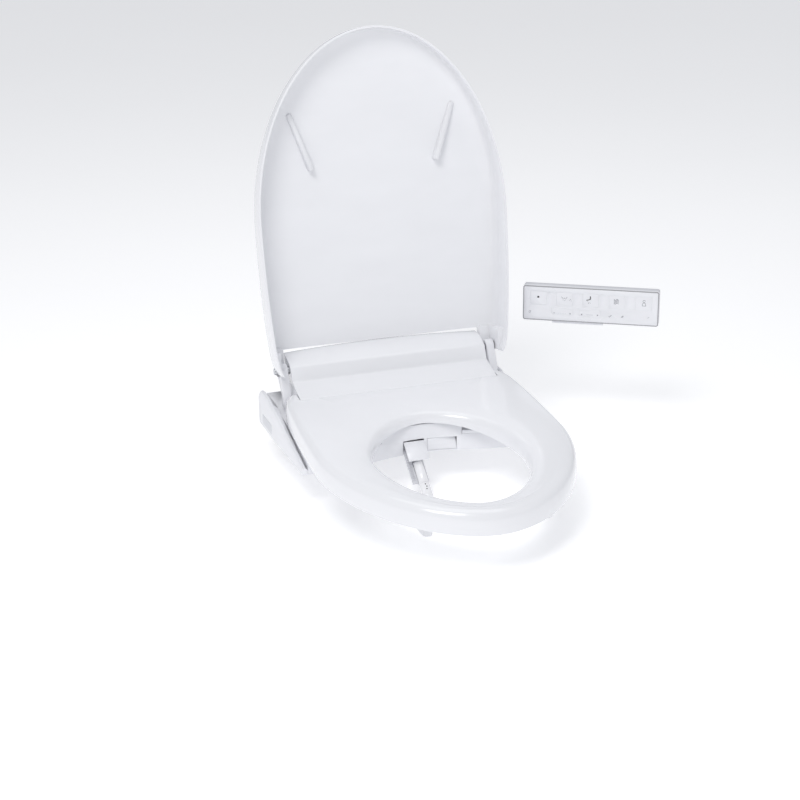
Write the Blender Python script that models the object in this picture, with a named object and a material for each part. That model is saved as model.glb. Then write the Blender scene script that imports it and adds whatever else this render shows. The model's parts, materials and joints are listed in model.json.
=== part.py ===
"""Electric bidet seat: base with nozzle, dryer and hinges, seat ring, lid, and remote on its wall bracket.

All sizes below are in millimetres and become metres as each mesh is made. +X is to the right when
facing the toilet, -Y is towards the user, +Z is up. The origin is midway between the two mounting
bolts on the deck of the bowl. At rest the lid is open, the seat is down and the wand is out.
"""

import math

import bmesh
import bpy
from mathutils import Matrix, Vector

MM = 0.001
GAP = 0.3  # between pieces that touch

# Hinge line of the lid and the seat
HINGE_Y, HINGE_Z = 12.0, 98.0
SHAFT_R = 5.0
BORE_R = 5.35

# Lid, in its own closed position: U runs from the hinge end to the tip, W up from the rim
LID_LENGTH = 512.0
LID_HALF = 192.5
LID_REAR_HALF = 179.0
LID_WIDEST_U = 235.0
LID_FRONT_POWER = 1.98
LID_REAR_POWER = 16.0
LID_CENTRE_U = 230.0
LID_DEPTH_REAR, LID_DEPTH_TIP = 78.0, 32.0
LID_EDGE_POWER = 7.0
LID_WALL = 3.0
LID_AXIS_U, LID_AXIS_W = 15.1, 43.0
LID_OPEN_DEG = 100.5
LID_NECK_U = 43.0  # lower edge of the back, between the ears

# Seat ring
SEAT_HALF = 187.0
SEAT_WIDEST_Y = -231.0
SEAT_TIP_Y = -467.0
SEAT_REAR_Y = -14.0
SEAT_REAR_TAPER = 11.0
SEAT_FRONT_POWER = 1.82
SEAT_REAR_POWER = 14.0
SEAT_THICK = 32.5
SEAT_SLOPE = 0.07
SEAT_FRONT_BOTTOM = 11.0
SEAT_WALL = 3.0
OPENING_HALF = 109.0
OPENING_WIDEST_Y = -263.0
OPENING_REAR_Y, OPENING_FRONT_Y = -141.0, -415.0
OPENING_POWER = 1.85
OPENING_REAR_LIFT = 13.0
SEAT_CENTRE_Y = -255.0

# Hinge bar and front plate
BAR_HALF = 155.2
PLATE_FRONT_Y = -50.6
CASE_WALL = 2.5

# Base
BASE_HALF = 178.0
BASE_REAR_Y = 62.0
BASE_FRONT_MID_Y = -138.0
BASE_FRONT_SIDE_Y = -162.0
TRAY_TOP = 25.0
TRAY_WALL = 3.0
BROW_HALF, BROW_TOP, BROW_FALL = 62.0, 44.8, 3.2
SIDE_HALF_REAR, SIDE_HALF_FRONT = 191.0, 187.0

# Wand: S runs down and out along its axis from the front wall
WAND_X = -10.0
WAND_WALL_Z = 5.6
WAND_TILT_DEG = 37.0
WAND_R = 7.3
WAND_START, WAND_END = 22.0, 84.0
TROUGH_START, TROUGH_END = -8.0, 54.0
RACK_START = -28.0
PINION_S = -24.0
PINION_R = 5.0
PINION_TEETH = 10

# Flap over the wand and door of the dryer
FLAP_X = (-26.0, 6.0)
FLAP_TOP = 21.5
FLAP_LENGTH, FLAP_THICK = 31.0, 2.4
FLAP_OPEN_DEG = 52.0
DOOR_X = (11.5, 55.0)
DOOR_Z = (2.5, 21.0)
DOOR_THICK = 2.2
FAN_CENTRE = (46.0, -58.0)
FAN_BLADES = 8

# Mounting bolts, and the water and cord entries at either side of the rear
BOLT_XS = (-70.0, 70.0)
ENTRY_X, ENTRY_Z = 150.0, 14.5

# Remote
REMOTE_CENTRE = (333.0, 0.0, 151.0)
REMOTE_TURN_DEG = -31.0
REMOTE_LENGTH, REMOTE_HEIGHT, REMOTE_DEPTH = 212.0, 56.0, 18.0
KEYS = {"stop": -82.0, "rear": -41.0, "front": 0.0, "dryer": 41.0, "person": 82.0}
ROCKERS = {"pressure": -44.0, "position": -1.0}

WHITE = (0.86, 0.87, 0.90)
SOFT_WHITE = (0.80, 0.81, 0.85)
GREY = (0.42, 0.43, 0.46)
DARK = (0.06, 0.06, 0.07)
STEEL = (0.62, 0.63, 0.65)
BRASS = (0.72, 0.55, 0.25)
GREEN = (0.06, 0.30, 0.14)


def clear_scene():
    for old in list(bpy.data.objects):
        bpy.data.objects.remove(old, do_unlink=True)


def paint(obj, colour, roughness=0.35, metallic=0.0):
    material = bpy.data.materials.new(obj.name)
    material.use_nodes = True
    shader = material.node_tree.nodes["Principled BSDF"]
    shader.inputs["Base Color"].default_value = (*colour, 1.0)
    shader.inputs["Roughness"].default_value = roughness
    shader.inputs["Metallic"].default_value = metallic
    obj.data.materials.append(material)


def solid(name, points, faces, smooth_deg=35.0):
    """A closed mesh from points in millimetres, with its faces turned outwards."""
    mesh = bpy.data.meshes.new(name)
    bm = bmesh.new()
    verts = [bm.verts.new(Vector(p) * MM) for p in points]
    for face in faces:
        bm.faces.new([verts[i] for i in face])
    bmesh.ops.remove_doubles(bm, verts=bm.verts, dist=1e-6)
    bmesh.ops.recalc_face_normals(bm, faces=bm.faces)
    bm.to_mesh(mesh)
    bm.free()
    mesh.shade_smooth()
    mesh.set_sharp_from_angle(angle=math.radians(smooth_deg))
    obj = bpy.data.objects.new(name, mesh)
    bpy.context.scene.collection.objects.link(obj)
    return obj


def skin(rings, closed=False):
    """Points and faces of a tube through rings of equal length, capped unless it closes on itself."""
    count = len(rings[0])
    points = [p for ring in rings for p in ring]
    pairs = list(zip(range(len(rings)), range(1, len(rings))))
    if closed:
        pairs.append((len(rings) - 1, 0))
    faces = []
    for a, b in pairs:
        for i in range(count):
            j = (i + 1) % count
            faces.append((a * count + i, a * count + j, b * count + j, b * count + i))
    if not closed:
        faces.append(tuple(range(count)))
        faces.append(tuple((len(rings) - 1) * count + i for i in range(count)))
    return points, faces


def prism(name, outline, axis, low, high):
    """An outline carried along one axis: (y, z) along X, (x, z) along Y or (x, y) along Z."""
    place = {
        "X": lambda a, b, c: (c, a, b),
        "Y": lambda a, b, c: (a, c, b),
        "Z": lambda a, b, c: (a, b, c),
    }[axis]
    rings = [[place(a, b, c) for a, b in outline] for c in (low, high)]
    return solid(name, *skin(rings))


def block(name, low, high):
    (x0, y0, z0), (x1, y1, z1) = low, high
    return prism(name, [(x0, y0), (x1, y0), (x1, y1), (x0, y1)], "Z", z0, z1)


def rounded(x0, x1, y0, y1, radius, steps=4):
    """A rectangle with round corners."""
    points = []
    corners = (
        (x1 - radius, y1 - radius, 0),
        (x0 + radius, y1 - radius, 90),
        (x0 + radius, y0 + radius, 180),
        (x1 - radius, y0 + radius, 270),
    )
    for cx, cy, start in corners:
        for k in range(steps + 1):
            angle = math.radians(start + 90.0 * k / steps)
            points.append((cx + radius * math.cos(angle), cy + radius * math.sin(angle)))
    return points


def circle(radius, steps=24, centre=(0.0, 0.0)):
    turn = 2 * math.pi / steps
    return [
        (centre[0] + radius * math.cos(i * turn), centre[1] + radius * math.sin(i * turn))
        for i in range(steps)
    ]


def turned(name, profile, steps=24):
    """A profile of (radius, height) turned about local Z, from one end on the axis to the other."""
    rings = [[(x, y, z) for x, y in circle(r, steps)] for r, z in profile]
    return solid(name, *skin(rings))


def rod_along_x(name, radius, x0, x1, y, z, steps=20):
    return prism(name, circle(radius, steps, (y, z)), "X", x0, x1)


def hide(cutter):
    cutter.hide_render = True
    cutter.display_type = "WIRE"
    return cutter


def combine(target, tool, operation="DIFFERENCE"):
    modifier = target.modifiers.new(tool.name, "BOOLEAN")
    modifier.object = hide(tool)
    modifier.operation = operation
    modifier.solver = "EXACT"
    return target


def soften(obj, width, segments=1, angle_deg=40.0):
    bevel = obj.modifiers.new("edges", "BEVEL")
    bevel.width = width * MM
    bevel.segments = segments
    bevel.limit_method = "ANGLE"
    bevel.angle_limit = math.radians(angle_deg)
    return obj


def pivot(name, place, turn_x_deg=0.0, turn_z_deg=0.0):
    empty = bpy.data.objects.new(name, None)
    empty.location = Vector(place) * MM
    empty.rotation_euler = (math.radians(turn_x_deg), 0.0, math.radians(turn_z_deg))
    bpy.context.scene.collection.objects.link(empty)
    return empty


def hang(objects, empty):
    """Parent pieces that are already at their place in the world."""
    turn = Matrix.LocRotScale(empty.location, empty.rotation_euler, None)
    for obj in objects:
        obj.parent = empty
        obj.matrix_parent_inverse = turn.inverted()


def carry(objects, empty):
    """Parent pieces, and their cutters, that are modelled in the empty's own axes."""
    for obj in objects:
        for modifier in obj.modifiers:
            if modifier.type == "BOOLEAN":
                carry([modifier.object], empty)
        obj.parent = empty


def reach(inside, angle, far=600.0):
    """How far an outline lies from its centre in one direction, by halving."""
    low, high = 0.0, far
    for _ in range(40):
        middle = 0.5 * (low + high)
        if inside(middle * math.cos(angle), middle * math.sin(angle)):
            low = middle
        else:
            high = middle
    return low


def directions(count, corners, spread_deg=(2.0, 5.0, 9.0)):
    """Evenly spaced directions, with extra ones either side of each sharp corner."""
    found = {round(360.0 * i / count, 3) for i in range(count)}
    for corner in corners:
        nearby = [corner] + [corner + s * d for d in spread_deg for s in (-1, 1)]
        found = {a for a in found if all(abs(a - b) > 1.6 for b in nearby)}
        found |= {round(b % 360.0, 3) for b in nearby}
    return [math.radians(a) for a in sorted(found)]


# ---------------------------------------------------------------- lid


def inside_lid(x, away):
    """Whether a point of the rim plane, measured from the lid's centre, is inside the outline."""
    u = LID_CENTRE_U + away
    if u > LID_WIDEST_U:
        t = (u - LID_WIDEST_U) / (LID_LENGTH - LID_WIDEST_U)
        return (abs(x) / LID_HALF) ** LID_FRONT_POWER + t**LID_FRONT_POWER <= 1.0
    t = (LID_WIDEST_U - u) / LID_WIDEST_U
    half = LID_HALF - (LID_HALF - LID_REAR_HALF) * t * t
    return (abs(x) / half) ** LID_REAR_POWER + t**LID_REAR_POWER <= 1.0


def lid_depth(u):
    return LID_DEPTH_REAR + (LID_DEPTH_TIP - LID_DEPTH_REAR) * u / LID_LENGTH


def lid_rings(inset, angles, lowest=0.0, steps=7):
    """Rings of the domed lid from its rim to the middle of its back."""
    reaches = [reach(inside_lid, a) - inset for a in angles]
    rings = []
    for k in range(steps + 2):
        theta = math.radians(min(90.0 * k / steps, 90.0 - 0.01))
        share = math.cos(theta) ** (2 / LID_EDGE_POWER)
        rise = math.sin(theta) ** (2 / LID_EDGE_POWER)
        if k == steps:
            share, rise = 0.42, (1 - 0.42**LID_EDGE_POWER) ** (1 / LID_EDGE_POWER)
        if k > steps:
            share, rise = 0.14, 1.0
        ring = []
        for angle, far in zip(angles, reaches):
            x = share * far * math.cos(angle)
            u = LID_CENTRE_U + share * far * math.sin(angle)
            height = lowest if k == 0 else (lid_depth(u) - inset) * rise
            ring.append((x, LID_AXIS_U - u, height - LID_AXIS_W))
        rings.append(ring)
    return rings


def lid_angles():
    corner = math.degrees(math.atan2(LID_CENTRE_U, LID_REAR_HALF))
    return directions(56, (360.0 - corner, 180.0 + corner))


def lid_filled(name, inset, lowest=0.0):
    return solid(name, *skin(lid_rings(inset, lid_angles(), lowest)))


def lid_box(name, x0, x1, u0, u1, w0, w1):
    y0, y1 = LID_AXIS_U - u1, LID_AXIS_U - u0
    return block(name, (x0, y0, w0 - LID_AXIS_W), (x1, y1, w1 - LID_AXIS_W))


def make_lid(axis):
    angles = lid_angles()
    outer = lid_rings(0.0, angles)
    inner = lid_rings(LID_WALL, angles)
    rings = outer[::-1] + inner
    shell = solid("lid_shell", *skin(rings))
    for side, sign in (("left", -1), ("right", 1)):
        ear = lid_filled("ear_" + side, 1.5)
        ends = sorted((sign * 157.8, sign * 196.0))
        slab = lid_box("ear_slab_" + side, *ends, -5.0, 46.0, 12.0, 90.0)
        combine(ear, slab, "INTERSECT")
        combine(shell, ear, "UNION")
    neck = lid_box("lid_neck", -157.6, 157.6, -20.0, LID_NECK_U, -10.0, 100.0)
    combine(shell, neck)
    for side, sign in (("left", -1), ("right", 1)):
        ends = sorted((sign * 150.0, sign * 173.4))
        slot = lid_box("ear_slot_" + side, *ends, -15.0, 52.0, -10.0, 57.0)
        combine(shell, slot)
        ends = sorted((sign * 170.0, sign * 178.6))
        combine(shell, rod_along_x("ear_bore_" + side, BORE_R, *ends, 0.0, 0.0))
    paint(shell, WHITE, 0.22)
    carry([shell], axis)
    bumpers = []
    for side, sign in (("left", -1), ("right", 1)):
        bumpers.append(make_lid_bumper(side, sign))
    carry(bumpers, axis)


def make_lid_bumper(side, sign):
    """A long soft strip that meets the seat as the lid closes."""
    top, bottom = (sign * 126.0, 390.0), (sign * 98.5, 312.0)
    length = math.hypot(top[0] - bottom[0], top[1] - bottom[1])
    lean = math.atan2(top[0] - bottom[0], top[1] - bottom[1])
    half = 4.2
    outline = rounded(-half, half, -half, length + half, half, 5)
    points = []
    for a, b in outline:
        x = bottom[0] + a * math.cos(lean) + b * math.sin(lean)
        u = bottom[1] - a * math.sin(lean) + b * math.cos(lean)
        points.append((x, LID_AXIS_U - u))
    height = lid_depth(bottom[1]) - LID_AXIS_W
    bumper = prism("lid_bumper_" + side, points, "Z", height - 16.5, height + 6.0)
    room = lid_filled("bumper_room_" + side, LID_WALL + GAP, -20.0)
    combine(bumper, room, "INTERSECT")
    paint(bumper, SOFT_WHITE, 0.45)
    return bumper


def make_hinges(lid_axis, seat_axis):
    """One shaft at each end: the left one turns with the lid, the right one with the seat."""
    for name, sign, axis in (("lid", -1, lid_axis), ("seat", 1, seat_axis)):
        ends = sorted((sign * 112.0, sign * 178.0))
        shaft = rod_along_x(name + "_hinge_shaft", SHAFT_R, *ends, HINGE_Y, HINGE_Z)
        paint(shaft, STEEL, 0.3, 1.0)
        hang([shaft], axis)
        ends = sorted((sign * 84.0, sign * 150.0))
        damper = rod_along_x(name + "_damper", 8.0, *ends, HINGE_Y, HINGE_Z, 24)
        hole_ends = sorted((sign * 111.5, sign * 156.0))
        combine(damper, rod_along_x(name + "_damper_bore", BORE_R, *hole_ends, HINGE_Y, HINGE_Z))
        ends = sorted((sign * 90.0, sign * 104.0))
        foot = [(HINGE_Y - 12.0, 80.3), (HINGE_Y + 14.0, 80.3), (HINGE_Y + 7.8, HINGE_Z)]
        foot.append((HINGE_Y - 7.8, HINGE_Z))
        combine(damper, prism(name + "_damper_foot", foot, "X", *ends), "UNION")
        paint(damper, GREY, 0.4)


# ---------------------------------------------------------------- seat


def seat_lift(y):
    return SEAT_FRONT_BOTTOM + SEAT_SLOPE * (y - SEAT_TIP_Y)


def inside_seat(x, away):
    y = SEAT_CENTRE_Y + away
    if y < SEAT_WIDEST_Y:
        t = (SEAT_WIDEST_Y - y) / (SEAT_WIDEST_Y - SEAT_TIP_Y)
        return (abs(x) / SEAT_HALF) ** SEAT_FRONT_POWER + t**SEAT_FRONT_POWER <= 1.0
    t = (y - SEAT_WIDEST_Y) / (SEAT_REAR_Y - SEAT_WIDEST_Y)
    half = SEAT_HALF - SEAT_REAR_TAPER * t * t
    return (abs(x) / half) ** SEAT_REAR_POWER + t**SEAT_REAR_POWER <= 1.0


def inside_opening(x, away):
    y = SEAT_CENTRE_Y + away
    end = OPENING_FRONT_Y if y < OPENING_WIDEST_Y else OPENING_REAR_Y
    t = (y - OPENING_WIDEST_Y) / (end - OPENING_WIDEST_Y)
    return (abs(x) / OPENING_HALF) ** OPENING_POWER + t**OPENING_POWER <= 1.0


def seat_angles():
    corner = math.degrees(math.atan2(SEAT_REAR_Y - SEAT_CENTRE_Y, SEAT_HALF - SEAT_REAR_TAPER))
    return directions(60, (corner, 180.0 - corner), (3.0, 7.0))


def rear_share(angle):
    """1 behind the opening, falling to 0 at its sides."""
    return max(0.0, math.sin(angle)) ** 2


def seat_station(angle, section):
    """A cross-section of the ring at one direction, each of its points as (edge, inset, height)."""
    far = reach(inside_seat, angle)
    near = reach(inside_opening, angle)
    lift = OPENING_REAR_LIFT * rear_share(angle)
    points = []
    for edge, inset, height in section:
        if edge == "outer":
            distance = far - inset
        else:
            distance = near + inset
            height = height + lift * (1.0 - height / SEAT_THICK)
        x = distance * math.cos(angle)
        y = SEAT_CENTRE_Y + distance * math.sin(angle)
        points.append((x, y, height + seat_lift(y)))
    return points


OUTSIDE_SECTION = (
    ("outer", 0.6, 0.0),
    ("outer", 0.0, 8.0),
    ("outer", 0.8, 17.0),
    ("outer", 4.0, 25.0),
    ("outer", 10.0, 30.0),
    ("outer", 20.0, SEAT_THICK),
    ("inner", 30.0, 31.0),
    ("inner", 14.0, 28.0),
    ("inner", 5.0, 24.0),
    ("inner", 0.8, 17.0),
    ("inner", 0.0, 9.0),
    ("inner", 1.0, 0.0),
)


def inset_section(section, wall, lowest):
    """The same section moved in by a wall, and carried down to a given height at its two ends."""
    moved = [(edge, inset + wall, max(height - wall, 0.0)) for edge, inset, height in section[1:-1]]
    moved[0] = ("outer", wall + 0.6, lowest)
    moved[-1] = ("inner", wall + 1.0, lowest)
    return moved


def seat_ring(name, section):
    rings = [seat_station(angle, section) for angle in seat_angles()]
    return solid(name, *skin(rings, closed=True))


def seat_notch(name, margin):
    """The room that the hinge bar and front plate take out of the seat's rear edge."""
    half = 156.4 + margin
    front = PLATE_FRONT_Y - 0.8 - margin
    outline = [(-half, front), (half, front), (half, 40.0), (-half, 40.0)]
    return prism(name, outline, "Z", -60.0, 160.0)


def seat_recess(name, margin):
    """A hollow under the rear of the seat, for the hump over the wand."""
    outline = [
        (-132.0 - margin, -60.0),
        (-132.0 - margin, 41.0 + margin),
        (-100.0 - margin, 58.5 + margin),
        (-77.0 - margin, 66.2 + margin),
        (-30.0, 66.2 + margin),
        (-30.0, -60.0),
    ]
    return prism(name, outline, "X", -53.0 - margin, 15.0 + margin)


def make_seat(axis):
    top = seat_ring("seat_top", OUTSIDE_SECTION)
    combine(top, seat_notch("seat_notch", 0.0))
    combine(top, seat_recess("seat_recess", 0.0))
    room = seat_ring("seat_room", inset_section(OUTSIDE_SECTION, SEAT_WALL, -6.0))
    combine(room, seat_notch("room_notch", SEAT_WALL))
    combine(room, seat_recess("room_recess", SEAT_WALL))
    combine(top, room)
    paint(top, WHITE, 0.2)
    plate_section = [
        ("outer", 4.2, 0.4),
        ("outer", 4.2, 3.0),
        ("inner", 4.6, 3.0),
        ("inner", 4.6, 0.4),
    ]
    bottom = seat_ring("seat_bottom", plate_section)
    combine(bottom, seat_notch("bottom_notch", SEAT_WALL + GAP))
    combine(bottom, seat_recess("bottom_recess", SEAT_WALL + GAP))
    paint(bottom, SOFT_WHITE, 0.35)
    band_section = [
        ("outer", 24.0, 24.0),
        ("outer", 24.0, 25.0),
        ("inner", 24.0, 22.5),
        ("inner", 24.0, 21.5),
    ]
    heater = seat_ring("seat_heater", band_section)
    combine(heater, seat_notch("heater_notch", 9.0))
    combine(heater, seat_recess("heater_recess", 12.0))
    paint(heater, BRASS, 0.4, 1.0)
    hang([top, bottom, heater, *make_seat_bumpers()], axis)
    for side, sign in (("left", -1), ("right", 1)):
        hang([make_hinge_arm(side, sign)], axis)


def make_seat_bumpers():
    """Feet that carry the seat on the rim of the bowl."""
    feet = []
    for row, x, y in (("rear", 148.0, -215.0), ("front", 86.0, -400.0)):
        for side, sign in (("left", -1), ("right", 1)):
            outline = rounded(sign * x - 7.0, sign * x + 7.0, y - 17.0, y + 17.0, 6.0, 4)
            top = [(a, b, seat_lift(b) - GAP) for a, b in outline]
            bottom = [(a, b, 0.0) for a, b in outline]
            foot = solid(f"seat_bumper_{row}_{side}", *skin([top, bottom]))
            paint(foot, SOFT_WHITE, 0.6)
            feet.append(foot)
    return feet


def make_hinge_arm(side, sign):
    """An arm from the rear of the seat up to the hinge line, with an eye round the shaft."""
    eye = 11.3
    outline = [(SEAT_REAR_Y + GAP, 48.0), (-4.5, 48.0), (-3.5, 66.0)]
    for degrees in range(-60, 181, 20):
        angle = math.radians(degrees)
        outline.append((HINGE_Y + eye * math.cos(angle), HINGE_Z + eye * math.sin(angle)))
    outline.append((SEAT_REAR_Y + GAP, 74.0))
    ends = sorted((sign * 159.2, sign * 171.8))
    arm = prism("seat_hinge_arm_" + side, outline, "X", *ends)
    bore_ends = sorted((sign * 150.0, sign * 180.0))
    combine(arm, rod_along_x("arm_bore_" + side, BORE_R, *bore_ends, HINGE_Y, HINGE_Z))
    paint(arm, WHITE, 0.3)
    return arm


# ---------------------------------------------------------------- base


def front_edge(x, inset=0.0):
    """The front edge of the base, hollowed to follow the bowl's opening."""
    share = min(abs(x) / 150.0, 1.0)
    depth = BASE_FRONT_MID_Y - BASE_FRONT_SIDE_Y
    return BASE_FRONT_MID_Y - depth * math.sin(0.5 * math.pi * share) ** 2 + inset


def base_outline(inset):
    half = BASE_HALF - inset
    rear = BASE_REAR_Y - inset
    points = [(half, rear), (-half, rear)]
    for k in range(25):
        x = -half + 2.0 * half * k / 24.0
        points.append((x, front_edge(x, inset)))
    return points


def wand_frame(name):
    return pivot(name, (WAND_X, BASE_FRONT_MID_Y, WAND_WALL_Z), WAND_TILT_DEG)


def wand_point(s, n=0.0):
    """World Y and Z at a distance S down the wand's axis and N above it."""
    tilt = math.radians(WAND_TILT_DEG)
    y = BASE_FRONT_MID_Y - s * math.cos(tilt) - n * math.sin(tilt)
    z = WAND_WALL_Z - s * math.sin(tilt) + n * math.cos(tilt)
    return y, z


def make_tray():
    skirt = 3.0
    floor = 2.5
    outer, inner = base_outline(0.0), base_outline(TRAY_WALL)
    rings = [
        [(x, y, skirt) for x, y in inner],
        [(x, y, 0.0) for x, y in inner],
        [(x, y, 0.0) for x, y in outer],
        [(x, y, TRAY_TOP) for x, y in outer],
        [(x, y, TRAY_TOP) for x, y in inner],
        [(x, y, skirt + floor) for x, y in inner],
    ]
    tray = solid("base_tray", *skin(rings))
    combine(tray, brow("tray_brow"), "UNION")
    low = (FLAP_X[0] - 0.6, BASE_FRONT_MID_Y - 40.0, -5.0)
    high = (FLAP_X[1] + 0.6, BASE_FRONT_MID_Y + 14.0, FLAP_TOP + 0.6)
    combine(tray, block("flap_window", low, high))
    low = (DOOR_X[0] - 0.5, BASE_FRONT_MID_Y - 40.0, DOOR_Z[0] - 0.5)
    high = (DOOR_X[1] + 0.5, BASE_FRONT_MID_Y + 5.5, DOOR_Z[1] + 0.5)
    combine(tray, block("door_window", low, high))
    groove = along_wand("wand_groove", circle(13.2, 24), -32.0, 45.0)
    carry([groove], wand_frame("groove_axis"))
    combine(tray, groove)
    for x in BOLT_XS:
        combine(tray, prism("bolt_slot", circle(11.0, 20, (x, 0.0)), "Z", -2.0, 12.0))
    combine(tray, block("filter_window", (-190.0, -10.6, 7.4), (-170.0, 40.6, 22.6)))
    combine(tray, prism("inlet_hole", circle(9.4, 20, (-ENTRY_X, ENTRY_Z)), "Y", 50.0, 70.0))
    combine(tray, prism("gland_hole", circle(6.4, 20, (ENTRY_X, ENTRY_Z)), "Y", 50.0, 70.0))
    combine(tray, block("button_hole", (170.0, 11.6, 7.6), (190.0, 28.4, 16.4)))
    paint(tray, WHITE, 0.3)


def brow(name):
    """The raised middle of the front wall, its top falling to both ends with the seat's opening."""
    rings = []
    for k in range(15):
        x = -BROW_HALF + 2.0 * BROW_HALF * k / 14.0
        near, far = front_edge(x, 0.05), front_edge(x, TRAY_WALL - 0.05)
        low, top = TRAY_TOP - 8.0, BROW_TOP - BROW_FALL * (x / BROW_HALF) ** 2
        rings.append([(x, near, low), (x, far, low), (x, far, top), (x, near, top)])
    return solid(name, *skin(rings))


def case_block(name, inset, low):
    """The tall middle of the upper case, under the front plate and the hinge bar."""
    front = PLATE_FRONT_Y + CASE_WALL + GAP + inset
    outline = [
        (front, low),
        (BASE_REAR_Y - inset - 0.1, low),
        (BASE_REAR_Y - inset - 0.1, 80.0 - inset),
        (-8.5, 80.0 - inset),
        (front, 68.4 - inset),
    ]
    return prism(name, outline, "X", -(154.4 - inset), 154.4 - inset)


def case_hump(name, inset, low):
    """A hump over the wand's inner end."""
    outline = [
        (-129.0 + inset, low),
        (-129.0 + inset, 38.0 - inset),
        (-99.0 + inset, 56.5 - inset),
        (-76.0 + inset, 64.2 - inset),
        (-40.0, 64.2 - inset),
        (-40.0, low),
    ]
    return prism(name, outline, "X", -50.0 + inset, 12.0 - inset)


def case_shoulders(name, inset, low):
    outline = [
        (-8.0 + inset, low),
        (-8.0 + inset, 40.0 - inset),
        (2.0, 47.0 - inset),
        (BASE_REAR_Y - inset - 0.05, 47.0 - inset),
        (BASE_REAR_Y - inset - 0.05, low),
    ]
    return prism(name, outline, "X", -(BASE_HALF - inset - 0.1), BASE_HALF - inset - 0.1)


def case_deck(name, inset, low):
    """The low deck under the seat, rising to the rear with it."""
    wall = TRAY_WALL + GAP + 0.1 + inset
    outline = [(x, y) for x, y in base_outline(wall if inset else 0.0)]
    deck = 29.4 - inset
    rings = [
        [(x, y, low) for x, y in outline],
        [(x, y, deck + SEAT_SLOPE * (y - BASE_FRONT_SIDE_Y)) for x, y in outline],
    ]
    return solid(name, *skin(rings))


def make_upper_case():
    case = case_deck("upper_case", 0.0, 10.0)
    combine(case, case_block("case_block", 0.0, 11.0), "UNION")
    combine(case, case_hump("case_hump", 0.0, 12.0), "UNION")
    combine(case, case_shoulders("case_shoulders", 0.0, 13.0), "UNION")
    inner = case_deck("room_deck", CASE_WALL, 5.0)
    combine(inner, case_block("room_block", CASE_WALL, 4.0), "UNION")
    combine(inner, case_hump("room_hump", CASE_WALL, 3.0), "UNION")
    combine(inner, case_shoulders("room_shoulders", CASE_WALL, 2.0), "UNION")
    combine(case, inner)
    below = block("case_bottom", (-220.0, -200.0, -20.0), (220.0, 100.0, TRAY_TOP + GAP))
    combine(case, below)
    xs = [-63.0 + 126.0 * k / 14.0 for k in range(15)]
    outline = [(x, front_edge(x, -5.0)) for x in xs]
    outline += [(x, front_edge(x, TRAY_WALL + GAP)) for x in reversed(xs)]
    combine(case, prism("brow_room", outline, "Z", 0.0, 70.0))
    paint(case, WHITE, 0.3)


def bar_profile(inset):
    """Side view of the front plate and hinge bar, as (y, z)."""
    front, rear = PLATE_FRONT_Y + inset, 47.5 - inset
    points = [(front, 46.0), (front, 70.6 - inset), (front + 1.4, 72.0 - inset)]
    points += [(-9.0, 84.2 - inset), (-6.5 + inset, 86.0 - inset)]
    points += [(0.6 + inset, 103.6 - 0.5 * inset), (3.0 + inset, 106.2 - inset)]
    for k in range(1, 5):
        share = k / 4.0
        y = 3.0 + inset + (43.0 - 3.0) * share - 0.6 * inset * share
        points.append((y, 106.2 - inset + 13.8 * math.sin(0.5 * math.pi * share)))
    points += [(rear, 115.0 - inset), (rear, 46.0)]
    return points


def make_top_cover():
    cover = prism("top_cover", bar_profile(0.0), "X", -BAR_HALF, BAR_HALF)
    inner = [(y, z if z > 50.0 else z - 4.0) for y, z in bar_profile(CASE_WALL)]
    room = prism("cover_room", inner, "X", -(BAR_HALF - CASE_WALL), BAR_HALF - CASE_WALL)
    combine(cover, room)
    slope = [
        (PLATE_FRONT_Y + CASE_WALL, 40.0),
        (60.0, 40.0),
        (60.0, 80.3),
        (-8.5, 80.3),
        (PLATE_FRONT_Y + CASE_WALL, 68.7),
    ]
    combine(cover, prism("cover_slope", slope, "X", -170.0, 170.0))
    combine(cover, block("hump_mouth", (-52.0, -60.0, 30.0), (14.0, -40.0, 66.0)))
    ends = (-170.0, 170.0)
    combine(cover, rod_along_x("cover_bore", SHAFT_R + 0.6, *ends, HINGE_Y, HINGE_Z))
    paint(cover, WHITE, 0.2)


def side_section(y, inset):
    """Cross-section of a side cover at one place along the base, as (distance out, z)."""
    share = (y - BASE_FRONT_SIDE_Y) / (BASE_REAR_Y - BASE_FRONT_SIDE_Y)
    out = SIDE_HALF_FRONT + (SIDE_HALF_REAR - SIDE_HALF_FRONT) * min(1.0, 1.6 * share)
    ridge = min(12.0 + 0.262 * (y - BASE_FRONT_SIDE_Y), 58.0)
    if y > 45.0:
        ridge -= 0.03 * (y - 45.0) ** 2
    inner_top = min(ridge - 5.0, 50.0)
    start = BASE_HALF + GAP
    return [
        (start, 0.0),
        (out - 1.0 - inset, 0.0),
        (out - inset, 2.0),
        (out - inset, max(ridge - 7.0, 3.0) - 0.5 * inset),
        (out - 1.2 - inset, ridge - 2.0 - 0.8 * inset),
        (out - 4.0 - inset, ridge - inset),
        (start, inner_top - inset),
    ]


def side_solid(name, sign, inset):
    stations = [BASE_FRONT_SIDE_Y + inset, -120.0, -80.0, -40.0, -10.0, 15.0, 45.0, 54.0]
    stations.append(BASE_REAR_Y - inset)
    rings = []
    for y in stations:
        section = side_section(y, inset)
        if inset:
            section[0] = (section[0][0] - 6.0, inset)
            section[-1] = (section[-1][0] - 6.0, section[-1][1])
            section[1] = (section[1][0], inset)
        rings.append([(sign * out, y, z) for out, z in section])
    return solid(name, *skin(rings))


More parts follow.
